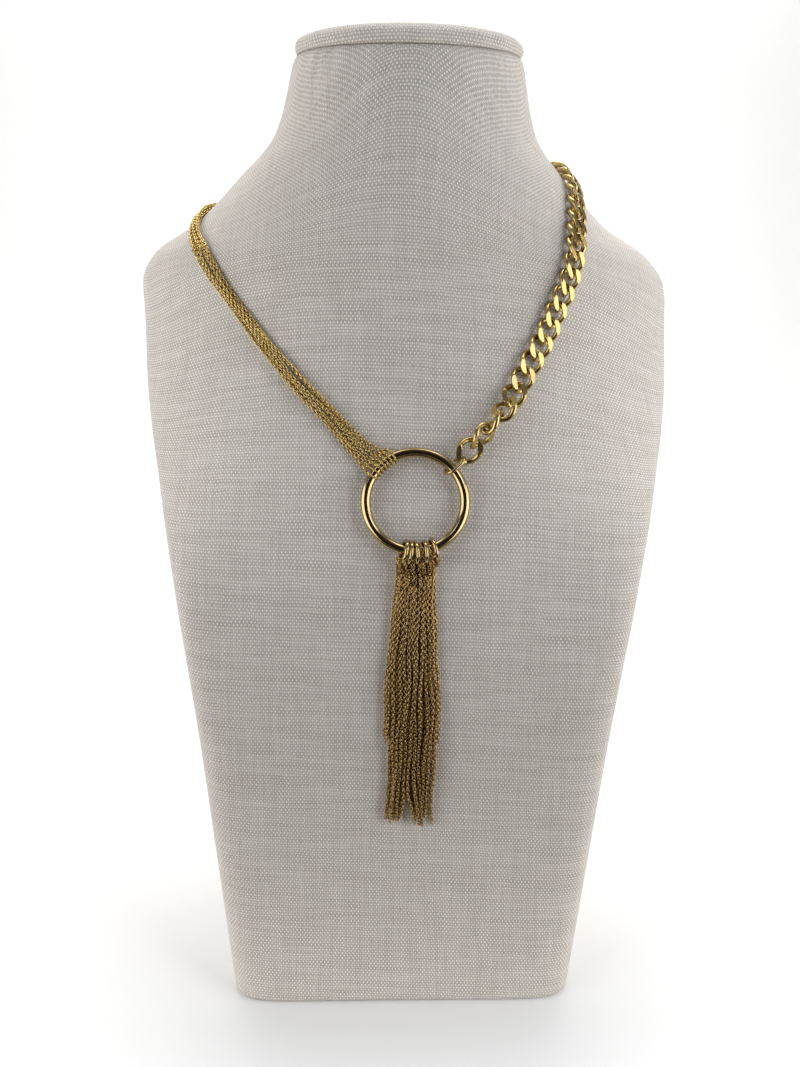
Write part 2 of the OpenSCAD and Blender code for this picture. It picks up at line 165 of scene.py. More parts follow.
@dataclass(frozen=True)
class GoldPlate:
    """Polished gold-tone plate over steel: a mirror that is yellow in the lights and brown in the dark."""

    name: str
    colour: str
    roughness: float
    # Polishing waves a metre, and the least and the greatest share of the roughness in them
    waves: float = 900.0
    least: float = 0.8
    greatest: float = 1.3

    def material(self) -> bpy.types.Material:
        """Builds the metal, whose gloss changes faintly in polishing waves about a millimetre long.

        Returns:
            The material.
        """
        made = bpy.data.materials.new(self.name)
        made.use_nodes = True
        tree = made.node_tree
        shader = tree.nodes["Principled BSDF"]
        shader.inputs["Base Color"].default_value = linear(self.colour)
        shader.inputs["Metallic"].default_value = 1.0
        place = add_node(tree, "ShaderNodeTexCoord")
        noise = add_node(tree, "ShaderNodeTexNoise", {"Scale": self.waves, "Detail": 3.0},
                         {"Vector": place.outputs["Object"]})
        span = add_node(tree, "ShaderNodeMapRange",
                        {"To Min": self.roughness * self.least, "To Max": self.roughness * self.greatest},
                        {"Value": noise.outputs["Fac"]})
        tree.links.new(span.outputs["Result"], shader.inputs["Roughness"])
        return made


@dataclass(frozen=True)
class Linen:
    """Natural linen in plain weave: uneven threads with slubs and a few flecks, matt with a soft edge."""

    name: str
    # Spacing of the warp, which runs up the body, and of the weft across it
    warp_mm: float = 0.685
    weft_mm: float = 1.09
    # Colours of the thread tops and of the hollows between them, as painted light and painted shade
    light: str = "#fdf8f0"
    dark: str = "#a69d93"
    fleck: str = "#7b7168"
    edge: str = "#fff8ee"
    relief_mm: float = 0.16
    # How far the threads wander from straight, and the grains a millimetre of that
    wander_mm: float = 0.9
    wander_grain: float = 0.12
    # Grains a millimetre along a thread of its thick and thin places, and their share in relief and in tone
    slub_grain: float = 0.05
    slub_relief: float = 0.6
    slub_tone: float = 0.8
    # How round the warp's ovals are, and how high the weft stands against them
    oval_power: float = 0.8
    weft_height: float = 0.42
    # Where the weave's height gives the dark and the light tone, as painted shade and painted light
    dark_at: float = 0.32
    light_at: float = 1.25
    # Grains a millimetre of the flecks, and the noise at which one begins and is full
    fleck_grain: float = 0.75
    fleck_from: float = 0.72
    fleck_to: float = 0.78

    def material(self) -> bpy.types.Material:
        """Builds the cloth on the piece's own map, whose unit is a millimetre of cloth.

        Returns:
            The material.
        """
        made = bpy.data.materials.new(self.name)
        made.use_nodes = True
        tree = made.node_tree
        shader = tree.nodes["Principled BSDF"]
        shader.inputs["Roughness"].default_value = 0.9
        shader.inputs["Specular IOR Level"].default_value = 0.25
        shader.inputs["Sheen Weight"].default_value = 0.35
        shader.inputs["Sheen Roughness"].default_value = 0.55
        shader.inputs["Sheen Tint"].default_value = linear(self.edge)
        place = add_node(tree, "ShaderNodeUVMap", {"uv_map": "cloth"}).outputs["UV"]
        wander = add_node(tree, "ShaderNodeTexNoise", {"Scale": self.wander_grain, "Detail": 1.0},
                          {"Vector": place})
        shift = add_node(tree, "ShaderNodeVectorMath", {"operation": "SCALE", "Scale": self.wander_mm},
                         {0: wander.outputs["Color"]})
        moved = add_node(tree, "ShaderNodeVectorMath", {"operation": "ADD"},
                         {0: place, 1: shift.outputs["Vector"]}).outputs["Vector"]
        parts = add_node(tree, "ShaderNodeSeparateXYZ", links={"Vector": moved})

        def wave(source: bpy.types.NodeSocket, pitch: float) -> bpy.types.NodeSocket:
            """Sine that crosses zero between one thread and the next.

            Args:
                source: place across the threads in millimetres.
                pitch: thread spacing in millimetres.
            Returns:
                The wave's socket.
            """
            turn = add_node(tree, "ShaderNodeMath", {"operation": "MULTIPLY", 1: math.pi / pitch},
                            {0: source})
            return add_node(tree, "ShaderNodeMath", {"operation": "SINE"}, {0: turn.outputs[0]}).outputs[0]

        def stretched(x: float, y: float) -> bpy.types.NodeSocket:
            """Noise drawn out along the threads.

            Args:
                x: grains a millimetre across the warp.
                y: grains a millimetre along the warp.
            Returns:
                The noise's socket.
            """
            scaled = add_node(tree, "ShaderNodeMapping", {"Scale": (x, y, 1.0)}, {"Vector": moved})
            return add_node(tree, "ShaderNodeTexNoise", {"Scale": 1.0, "Detail": 2.0},
                            {"Vector": scaled.outputs["Vector"]}).outputs["Fac"]

        across, along = wave(parts.outputs["X"], self.warp_mm), wave(parts.outputs["Y"], self.weft_mm)
        both = add_node(tree, "ShaderNodeMath", {"operation": "MULTIPLY"}, {0: across, 1: along}).outputs[0]
        # Where the warp is on top its thread stands up as an oval. Between them lies the lower weft
        warp_top = add_node(tree, "ShaderNodeMath", {"operation": "MAXIMUM", 1: 0.0}, {0: both}).outputs[0]
        warp_top = add_node(tree, "ShaderNodeMath", {"operation": "POWER", 1: self.oval_power},
                            {0: warp_top}).outputs[0]
        weft_top = add_node(tree, "ShaderNodeMath", {"operation": "MINIMUM", 1: 0.0}, {0: both}).outputs[0]
        pillow = add_node(tree, "ShaderNodeMath", {"operation": "MULTIPLY_ADD", 1: -self.weft_height},
                          {0: weft_top, 2: warp_top}).outputs[0]
        warp_slub = stretched(1 / self.warp_mm, self.slub_grain)
        weft_slub = stretched(self.slub_grain, 1 / self.weft_mm)
        over = add_node(tree, "ShaderNodeMapRange", {"From Min": -0.25, "From Max": 0.25}, {"Value": both})
        slub = add_node(tree, "ShaderNodeMix", {"data_type": "FLOAT"},
                        {0: over.outputs["Result"], 2: weft_slub, 3: warp_slub}).outputs[0]
        height = add_node(tree, "ShaderNodeMath", {"operation": "MULTIPLY_ADD", 1: self.slub_relief},
                          {0: slub, 2: pillow})
        bump = add_node(tree, "ShaderNodeBump", {"Strength": 0.6, "Distance": self.relief_mm * MM},
                        {"Height": height.outputs[0]})
        tree.links.new(bump.outputs["Normal"], shader.inputs["Normal"])

        # Tone: painted shade in the hollows, painted light on the thread tops, and the threads' real slubs
        tone = add_node(tree, "ShaderNodeMath", {"operation": "MULTIPLY_ADD", 1: self.slub_tone},
                        {0: slub, 2: pillow})
        tone = add_node(tree, "ShaderNodeMapRange", {"From Min": self.dark_at, "From Max": self.light_at},
                        {"Value": tone.outputs[0]})
        cloth = add_node(tree, "ShaderNodeMix", {"data_type": "RGBA"}, {0: tone.outputs["Result"]})
        cloth.inputs[6].default_value = linear(self.dark)
        cloth.inputs[7].default_value = linear(self.light)
        spots = add_node(tree, "ShaderNodeTexNoise",
                         {"Scale": self.fleck_grain, "Detail": 2.0, "Roughness": 0.7}, {"Vector": moved})
        rare = add_node(tree, "ShaderNodeMapRange", {"From Min": self.fleck_from, "From Max": self.fleck_to},
                        {"Value": spots.outputs["Fac"]})
        flecked = add_node(tree, "ShaderNodeMix", {"data_type": "RGBA"},
                           {0: rare.outputs["Result"], 6: cloth.outputs[2]})
        flecked.inputs[7].default_value = linear(self.fleck)
        tree.links.new(flecked.outputs[2], shader.inputs["Base Color"])
        return made


# The bust's surface, which everything is laid on

@dataclass
class BustForm:
    """Surface of the bust: sections by height, each with a front and a back half of its own roundness."""

    seam_z: float = 345.0
    # Step of the differences that give the surface's slope
    step: float = 0.2
    # Height, half width, front, side, back, three roundness powers, how far the middle lies to the right
    rows: Array = field(default_factory=lambda: np.array([
        [0, 66, -60, -48, 60, 12, 2.0, 10, 0], [60, 71.5, -57, -46, 60, 12, 2.0, 10, 0],
        [120, 77, -55, -45, 60, 12, 2.0, 10, 0], [150, 81, -52, -42, 60, 11, 2.0, 10, 0.1],
        [170, 84.5, -48, -36, 60, 9, 1.8, 10, 0.3], [185, 88, -43, -28, 60, 6, 1.6, 10, 0.6],
        [200, 92.5, -37, -14, 60, 4, 1.4, 10, 0.9], [215, 97.5, -30, 2, 60, 2.8, 1.25, 10, 1.1],
        [231, 102, -25, 20, 60, 2.3, 1.15, 9, 1.2], [248, 104.4, -21, 34, 60, 2.1, 1.15, 8, 1.1],
        [258, 105, -19, 38, 60, 2.0, 1.2, 7, 0.8], [266, 104.2, -18, 38, 60, 2.0, 1.25, 6, 0.2],
        [276, 97.5, -18, 36, 60, 2.0, 1.4, 4.6, -0.9], [288, 79, -19, 33, 60, 2.0, 1.6, 3.2, -1.5],
        [302, 63.9, -19.5, 29, 60, 2.0, 1.8, 2.5, -1.4], [320, 47.8, -19, 24, 60, 2.0, 2.0, 2.2, -0.8],
        [345, 40.6, -17, 19, 60, 2.0, 2.0, 2.1, -0.2]], float))

    def slopes(self) -> Array:
        """Slope of each column at each row: harmonic mean of the rises beside it, zero at a turning point.

        Returns:
            One row of slopes for each row of the sections.
        """
        h = np.diff(self.rows[:, 0])[:, None]
        rise = np.diff(self.rows[:, 1:], axis=0) / h
        a, b, ha, hb = rise[:-1], rise[1:], h[:-1], h[1:]
        same = a * b > 0
        safe_a, safe_b = np.where(same, a, 1.0), np.where(same, b, 1.0)
        inner = np.where(same, 3 * (ha + hb) / ((2 * hb + ha) / safe_a + (hb + 2 * ha) / safe_b), 0.0)
        return np.vstack([rise[:1], inner, rise[-1:]])

    def section(self, z: Array) -> Array:
        """Half width, front, side, back, the powers and the middle at heights, by a cubic between the rows.

        Args:
            z: heights in millimetres.
        Returns:
            Eight values for each height.
        """
        z = np.clip(np.asarray(z, float), 0, self.seam_z)
        r = np.clip(np.searchsorted(self.rows[:, 0], z, side="right") - 1, 0, len(self.rows) - 2)
        h = (self.rows[r + 1, 0] - self.rows[r, 0])[..., None]
        t = (z[..., None] - self.rows[r, 0][..., None]) / h
        m = self.slopes()
        return ((2 * t ** 3 - 3 * t ** 2 + 1) * self.rows[r, 1:] + (t ** 3 - 2 * t ** 2 + t) * h * m[r]
                + (3 * t ** 2 - 2 * t ** 3) * self.rows[r + 1, 1:] + (t ** 3 - t ** 2) * h * m[r + 1])

    def level(self, p: Array) -> Array:
        """Zero on the surface, below zero inside, above zero outside: a superellipse in each half.

        Args:
            p: points.
        Returns:
            One value for each point.
        """
        s = self.section(p[..., 2])
        u = np.abs(p[..., 0] - s[..., 7]) / s[..., 0]
        v = np.maximum((s[..., 2] - p[..., 1]) / (s[..., 2] - s[..., 1]), 0)
        front = u ** s[..., 4] + v ** s[..., 5]
        back = u ** s[..., 6] + ((p[..., 1] - s[..., 2]) / (s[..., 3] - s[..., 2])) ** 2
        return np.where(p[..., 1] < s[..., 2], front, back) - 1

    def climb(self, p: Array) -> Array:
        """Gradient of the level, by differences.

        Args:
            p: points.
        Returns:
            One vector for each point.
        """
        dx, dy, dz = (np.array(v) * self.step for v in ([1, 0, 0], [0, 1, 0], [0, 0, 1]))
        f = self.level(p)
        return np.stack([(self.level(p + dx) - self.level(p - dx)) / (2 * self.step),
                         (self.level(p + dy) - self.level(p - dy)) / (2 * self.step),
                         (self.level(p + dz) - f) / self.step], -1)

    def outward(self, p: Array) -> Array:
        """Direction straight out of the cloth near points."""
        return unit(self.climb(p))

    def settle(self, p: Array, turns: int = 4) -> Array:
        """Points moved on to the surface by Newton steps along the gradient.

        Args:
            p: points near the surface.
            turns: number of steps.
        Returns:
            Points on the surface.
        """
        for _ in range(turns):
            g = self.climb(p)
            p = p - g * (self.level(p) / np.sum(g * g, -1))[..., None]
        return p

    def outline(self, z: Array, sides: int) -> Array:
        """Outlines at heights, from the left round the front to the right and back behind.

        Args:
            z: heights, one for each outline.
            sides: number of points of an outline, even.
        Returns:
            Points, one row for each height.
        """
        s = self.section(z)[:, None, :]
        half = sides // 2
        # The cosine spacing is dense at the sides, where the cloth turns most
        u = -np.cos(np.pi * np.arange(half + 1) / half)[None, :]
        v = np.cos(np.pi * np.arange(1, half) / half)[None, :]
        front_share = np.maximum(1 - np.abs(u) ** s[..., 4], 0) ** (1 / s[..., 5])
        front = s[..., 2] - (s[..., 2] - s[..., 1]) * front_share
        back = s[..., 2] + (s[..., 3] - s[..., 2]) * np.sqrt(np.maximum(1 - np.abs(v) ** s[..., 6], 0))
        x = s[..., 7] + np.concatenate([s[..., 0] * u, s[..., 0] * v], 1)
        y = np.concatenate([front, back], 1)
        return np.stack([x, y, np.broadcast_to(np.asarray(z, float)[:, None], x.shape)], -1)

    def laid(self, route: tuple[tuple[float, float, float], ...], steps: int = 4) -> Array:
        """A route as a smooth cubic curve through its points, settled on the cloth.

        Args:
            route: points to pass through.
            steps: pieces between two of them.
        Returns:
            The curve's points.
        """
        q, n = np.asarray(route, float), len(route)
        i = np.arange(steps * (n - 1) + 1)
        k = np.minimum(i // steps, n - 2)
        t = (i / steps - k)[:, None]
        a, b, c, d = q[np.maximum(k - 1, 0)], q[k], q[k + 1], q[np.minimum(k + 2, n - 1)]
        curve = 0.5 * (2 * b + (c - a) * t + (2 * a - 5 * b + 4 * c - d) * t ** 2
                       + (3 * b - a - 3 * c + d) * t ** 3)
        return self.settle(curve)


def lengths(path: Array) -> Array:
    """Length along a path up to each of its points."""
    return np.concatenate([[0.0], np.cumsum(np.linalg.norm(np.diff(path, axis=0), axis=1))])


def along(path: Array, s: Array) -> Array:
    """Points of a path at lengths along it, straight between its points."""
    total = lengths(path)
    return np.stack([np.interp(s, total, path[:, c]) for c in range(3)], -1)


def frames(way: Array, out: Array) -> Array:
    """Turning matrices with X along the way and Z as far outwards as that allows.

    Args:
        way: directions along.
        out: directions outwards.
    Returns:
        Matrices whose columns are the three axes.
    """
    x = unit(way)
    z = unit(out - np.sum(out * x, -1, keepdims=True) * x)
    return np.stack([x, np.cross(z, x), z], -1)


def rolled(turns: Array, angles_deg: Array) -> Array:
    """Turning matrices rolled further about their own X.

    Args:
        turns: the matrices.
        angles_deg: one angle for each, in degrees.
    Returns:
        The rolled matrices.
    """
    a = np.radians(np.asarray(angles_deg, float))
    c, s, zero, one = np.cos(a), np.sin(a), np.zeros_like(a), np.ones_like(a)
    rows = [np.stack(row, -1) for row in ((one, zero, zero), (zero, c, -s), (zero, s, c))]
    return turns @ np.stack(rows, -2)


# Bust

@dataclass
class LinenBust:
    """The bust's body with its base, and the padded cap on its neck."""

    form: BustForm
    linen: Linen
    sides: int = 336
    cloth_step: float = 1.5
    edge_r: float = 1.2
    # Sizes of the flat rings that close the base and the top, and the middles that they are drawn in to
    base_sizes: tuple[float, ...] = (0.0, 0.35, 0.7)
    base_middle: tuple[float, float] = (0.0, 10.0)
    top_sizes: tuple[float, ...] = (0.6, 0.0)
    top_middle: tuple[float, float] = (0.0, 21.0)
    top_rise: float = 0.02
    # Faint puckers below the seam: depth at the left, its share at the right, length and number
    pucker: float = 0.28
    pucker_right: float = 0.35
    pucker_fade: float = 9.0
    pucker_count: int = 31
    # How unevenly they are spaced, in how many waves round the neck, and the middle that they lie round
    pucker_wander: float = 2.2
    pucker_waves: int = 7
    neck_y: float = 20.0
    # How far the cloth is drawn in at the seam, and how soon that fades below it
    seam_in: float = 0.9
    seam_fade: float = 1.2
    # Rise of the weft for each millimetre round the body
    thread_lean: float = 0.045
    cap_h: float = 9.0
    cap_sides: int = 240
    cap_rings: int = 46
    # The cap's underside: its share of the neck's size, its height over the seam, and where the roll begins
    under_size: float = 0.93
    under_z: float = 0.05
    roll_z: float = 0.3
    # How far the roll is drawn in at the seam, as a share of its size, and how soon that fades up the cap
    roll_in: float = 0.03
    roll_fade: float = 0.05
    # Soft lumps of the roll: depth and number round it of long and of short ones, their height and spread
    lumps: tuple[tuple[float, int], tuple[float, int]] = ((0.22, 9), (0.14, 23))
    lump_z: float = 3.2
    lump_spread: float = 2.2
    # Shares of the neck's size: above the first the lumps show, below the second the cloth is one flat sheet
    roll_size: float = 0.9
    dome_size: float = 0.97
    # Step of the cap's map from its last column to the join
    join_step: float = 0.5

    def heights(self) -> Array:
        """Heights of the rings, spaced evenly along the cloth at the sides, closer where the front bulges.

        Returns:
            Heights from the base to the seam.
        """
        z = np.linspace(0.0, self.form.seam_z, 4000)
        s = self.form.section(z)
        pace = np.hypot(np.gradient(s[:, 0]), np.gradient(z)) + 0.5 * np.abs(np.gradient(s[:, 1]))
        run = np.cumsum(pace)
        return np.interp(np.linspace(run[0], run[-1], int(run[-1] / self.cloth_step)), run, z)

    def cloth_map(self, rings: Array) -> Array:
        """Place of each point on the cloth: length round from the front's middle, and length up the body.

        Args:
            rings: points, one row a ring.
        Returns:
            Two values in millimetres for each point.
        """
        sides = rings.shape[1]
        gaps = np.linalg.norm(np.roll(rings, -1, 1) - rings, axis=2)
        around = np.concatenate([np.zeros((len(rings), 1)), np.cumsum(gaps, 1)[:, :-1]], 1)
        # The front's middle is a quarter of the way round
        around = around - around[:, sides // 4:sides // 4 + 1]
        steps = np.linalg.norm(np.diff(rings, axis=0), axis=2)
        up = np.vstack([np.zeros((1, sides)), np.cumsum(steps, 0)])
        return np.stack([around, up + self.thread_lean * around], -1)

    def body_rings(self) -> Array:
        """Rings of the body: the form's outlines, rounded in at the base, puckered and drawn in at the seam.

        The base edge is a quarter circle. A pucker is a cosine round the neck, spaced unevenly by a slower
        sine, times a fade below the seam.

        Returns:
            Points, one row a ring.
        """
        z = self.heights()
        rings = self.form.outline(z, self.sides)
        lift = np.clip((self.edge_r - z) / self.edge_r, 0, 1)
        inset = self.edge_r * (1 - np.sqrt(1 - lift ** 2))
        out = unit(rings[..., :2] - np.array(self.base_middle))
        rings[..., :2] -= out * inset[:, None, None]
        turn = np.arctan2(rings[..., 0], -(rings[..., 1] - self.neck_y))
        below = np.maximum(self.form.seam_z - rings[..., 2], 0)
        depth = self.pucker * np.where(rings[..., 0] < 0, 1.0, self.pucker_right)
        wave = np.cos(turn * self.pucker_count + self.pucker_wander * np.sin(turn * self.pucker_waves))
        rings[..., :2] += out * (depth * wave * np.exp(-below / self.pucker_fade))[..., None]
        rings[..., :2] -= out * (self.seam_in * np.exp(-below / self.seam_fade))[..., None]
        return rings

    def drawn_in(self, ring: Array, middle: tuple[float, float], size: float, z: float) -> Array:
        """A ring drawn in to a middle and laid flat.

        Args:
            ring: points of the ring.
            middle: place that it is drawn in to.
            size: its new size as a share of the old one.
            z: its new height.
        Returns:
            Points of the new ring.
        """
        flat = np.array(middle) + (ring[:, :2] - np.array(middle)) * size
        return np.concatenate([flat, np.full((len(ring), 1), z)], 1)

    def body(self, material: bpy.types.Material) -> bpy.types.Object:
        """Body with its base: the rings, closed flat at both ends by rings drawn in to a middle.

        Args:
            material: the linen.
        Returns:
            The piece.
        """
        rings = self.body_rings()
        top_z = self.form.seam_z + self.top_rise
        floor = np.stack([self.drawn_in(rings[0], self.base_middle, size, 0.0) for size in self.base_sizes])
        top = np.stack([self.drawn_in(rings[-1], self.top_middle, size, top_z) for size in self.top_sizes])
        points = np.concatenate([floor, rings, top])
        uv = np.concatenate([floor[..., :2], self.cloth_map(rings), top[..., :2]])
        # One more column with the same places carries the map across the join at the left side
        points = np.concatenate([points, points[:, :1]], 1)
        last = uv[:, -1:] + np.stack([np.linalg.norm(points[:, -1:] - points[:, -2:-1], axis=2),
                                      np.zeros((len(points), 1))], -1)
        uv = np.concatenate([uv, last], 1)
        quads = grid_quads(points.shape[0], points.shape[1])
        piece = make_piece("linen_body", points.reshape(-1, 3), quads, material, uv=uv.reshape(-1, 2))
        merge_doubles(piece)
        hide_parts("bust_body", "base_board")
        return piece

    def cap(self, material: bpy.types.Material) -> bpy.types.Object:
        """Cap: the neck's outline times a size that falls from the padded side over into a low dome.

        With s the share of the cap's height, the size is (1 - s^4.5)^0.48, drawn in a little at the seam. The
        heights s are sines to the power 1.15, which lie close together on the dome.

        Args:
            material: the linen.
        Returns:
            The piece.
        """
        rim = self.form.outline(np.array([self.form.seam_z]), self.cap_sides)[0]
        s = np.sin(np.linspace(0, np.pi / 2, self.cap_rings)) ** 1.15
        roll = (1 - s ** 4.5) ** 0.48 * (1 - self.roll_in * np.exp(-s / self.roll_fade))
        size = np.concatenate([[0.0, self.under_size], roll])
        up = np.concatenate([[self.under_z, self.under_z], self.roll_z + (self.cap_h - self.roll_z) * s])
        middle = np.array([rim[:, 0].min() + rim[:, 0].max(), rim[:, 1].min() + rim[:, 1].max()]) / 2
        xy = middle + (rim[None, :, :2] - middle) * size[:, None, None]
        z = np.broadcast_to((self.form.seam_z + up)[:, None, None], (len(size), self.cap_sides, 1))
        points = np.concatenate([xy, z], 2)
        # The roll is a little lumpy where the cloth is gathered
        turn = np.arctan2(points[..., 0], -points[..., 1] + middle[1])
        (deep, few), (shallow, many) = self.lumps
        lump = deep * np.sin(turn * few + 1) + shallow * np.sin(turn * many)
        weight = np.exp(-((points[..., 2] - self.form.seam_z - self.lump_z) / self.lump_spread) ** 2)
        on_roll = (size > self.roll_size)[:, None, None]
        points[..., :2] += unit(points[..., :2] - middle) * (lump * weight)[..., None] * on_roll
        steps = np.linalg.norm(np.diff(points, axis=0), axis=2)
        up_map = np.vstack([np.zeros((1, self.cap_sides)), np.cumsum(steps, 0)])
        side = np.stack([np.broadcast_to(lengths(rim), up_map.shape), up_map], -1)
        sheet = points[..., :2]
        flat = (size < self.dome_size)[:, None, None]
        # One more column with the same places closes the map, as on the body
        last = np.where(flat, sheet[:, :1], side[:, -1:] + [self.join_step, 0])
        uv = np.concatenate([np.where(flat, sheet, side), last], 1)
        points = np.concatenate([points, points[:, :1]], 1)
        quads = grid_quads(points.shape[0], points.shape[1])
        piece = make_piece("linen_cap", points.reshape(-1, 3), quads, material, uv=uv.reshape(-1, 2))
        merge_doubles(piece)
        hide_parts("neck_cap")
        return piece

    def build(self) -> list[bpy.types.Object]:
        """Builds the body and the cap."""
        material = self.linen.material()
        return [self.body(material), self.cap(material)]


# Necklace

@dataclass
class RingPlane:
    """Plane of the big ring, which leans back with the chest."""

    centre: tuple[float, float, float] = (2.2, -41.5, 197.55)
    lean: float = 23.0

    def turn(self) -> Array:
        """Matrix from the plane's axes to the part's: X right, Y up the chest, Z to the viewer."""
        a = math.radians(90 - self.lean)
        return np.array([[1, 0, 0], [0, math.cos(a), -math.sin(a)], [0, math.sin(a), math.cos(a)]])

    def place(self, p: Array) -> Array:
        """Points of the plane's axes in the part's frame."""
        return p @ self.turn().T + np.array(self.centre)


def spin(axis: int, deg: float) -> Array:
    """Turning matrix about one of the three axes.

    Args:
        axis: 0, 1 or 2 for X, Y or Z.
        deg: angle in degrees.
    Returns:
        The matrix.
    """
    c, s = math.cos(math.radians(deg)), math.sin(math.radians(deg))
    i, j = [(1, 2), (2, 0), (0, 1)][axis]
    m = np.eye(3)
    m[i, i], m[i, j], m[j, i], m[j, j] = c, -s, s, c
    return m


def tube(line: Array, radius: float, sides: int) -> tuple[Array, Array]:
    """Round tube along a closed line: circles square to the line, joined by quads.

    Args:
        line: points of the centre line.
        radius: radius of the tube.
        sides: number of sides.
    Returns:
        Points and quads.
    """
    way = np.roll(line, -1, 0) - np.roll(line, 1, 0)
    turns = frames(way, np.broadcast_to(np.array([0.0, 0.0, 1.0]), line.shape))
    g = 2 * np.pi * (np.arange(sides) + 0.5) / sides
    ring = np.stack([np.zeros_like(g), np.cos(g), np.sin(g)], -1) * radius
    points = line[:, None, :] + np.einsum("nij,kj->nki", turns, ring)
    return points.reshape(-1, 3), grid_quads(len(line), sides, True, True)


@dataclass
class RingSet:
    """The big ring, the oval ring beside it and the five heavy jump rings under it."""

    plane: RingPlane
    gold: bpy.types.Material
    ring_r: float = 17.25
    ring_wire: float = 3.5
    ring_steps: int = 160
    ring_sides: int = 48
    small_steps: int = 64
    small_sides: int = 24
    oval_l: float = 9.5
    oval_w: float = 7.0
    oval_wire: float = 1.1
    # Place of the oval ring on the big one, its lean and roll there, its rise and its clearance to the wire
    oval_angle: float = 43.0
    oval_lean: float = 4.0
    oval_roll: float = -62.0
    oval_rise: float = 0.1
    oval_gap: float = 0.15
    jump_r: float = 3.85
    jump_wire: float = 1.3
    jump_out: float = 0.95
    jump_gap: float = 0.25
    # Place of each jump ring in degrees from the big ring's lowest point, its tilt and its turn
    jumps: tuple[tuple[float, float, float], ...] = (
        (-12.9, 1.5, -13), (-7.2, -0.5, -13), (-0.2, 3.5, -11), (10.3, -5, -8), (20.7, -6, -8))

    def circle(self, r: float, steps: int) -> Array:
        """Points of a circle in the XY plane.

        Args:
            r: radius.
            steps: number of points.
        Returns:
            The points.
        """
        a = 2 * np.pi * np.arange(steps) / steps
        return np.stack([r * np.cos(a), r * np.sin(a), 0 * a], -1)

    def big_ring(self) -> bpy.types.Object:
        """Big ring: a torus.

        Returns:
            The piece.
        """
        line = self.circle(self.ring_r, self.ring_steps)
        points, quads = tube(line, self.ring_wire / 2, self.ring_sides)
        piece = make_piece("ring_big", self.plane.place(points), quads, self.gold)
        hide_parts("big_ring")
        return piece

    def oval(self) -> bpy.types.Object:
        """Oval ring: two half circles joined by straight wires.

        Returns:
            The piece.
        """
        end_r, straight = (self.oval_w - self.oval_wire) / 2, (self.oval_l - self.oval_w) / 2
        a = np.radians(np.linspace(-90, 90, 25))
        right = np.stack([straight + end_r * np.cos(a), end_r * np.sin(a), 0 * a], -1)
        line = np.concatenate([right, -right])
        points, quads = tube(line, self.oval_wire / 2, self.small_sides)
        reach = self.oval_l / 2 - self.oval_wire - self.ring_wire / 2 - 2 * self.oval_gap
        points = points @ spin(0, self.oval_roll).T + [reach, 0, self.oval_rise]
        points = points @ spin(1, self.oval_lean).T + [self.ring_r, 0, 0]
        points = self.plane.place(points @ spin(2, self.oval_angle).T)
        piece = make_piece("ring_oval", points, quads, self.gold)
        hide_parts("oval_ring")
        return piece

    def jump_drop(self) -> float:
        """How far a jump ring's centre hangs outside the middle of the big ring's wire."""
        inner = self.jump_r - self.jump_wire / 2
        return math.sqrt((inner - self.ring_wire / 2 - self.jump_gap) ** 2 - self.jump_out ** 2)

    def jump_place(self, k: int, p: Array) -> Array:
        """Points of jump ring k, from its own plane to the part's frame.

        Args:
            k: number of the ring, from zero.
            p: points with the ring in the XY plane.
        Returns:
            Points in the part's frame.
        """
        at, tilt, yaw = self.jumps[k]
        p = p @ spin(0, 90).T @ spin(0, yaw).T + [self.jump_drop(), 0, self.jump_out]
        p = p @ spin(2, tilt).T + [self.ring_r, 0, 0]
        return self.plane.place(p @ spin(2, at - 90).T)

    def jump(self, k: int) -> bpy.types.Object:
        """Jump ring k: a torus hung in the big ring.

        Args:
            k: number of the ring, from zero.
        Returns:
            The piece.
        """
        line = self.circle(self.jump_r, self.small_steps)
        points, quads = tube(line, self.jump_wire / 2, self.small_sides)
        piece = make_piece(f"ring_jump_{k + 1}", self.jump_place(k, points), quads, self.gold)
        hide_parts(f"jump_ring_{k + 1}")
        return piece

    def build(self) -> list[bpy.types.Object]:
        """Builds every ring."""
        return [self.big_ring(), self.oval()] + [self.jump(k) for k in range(len(self.jumps))]


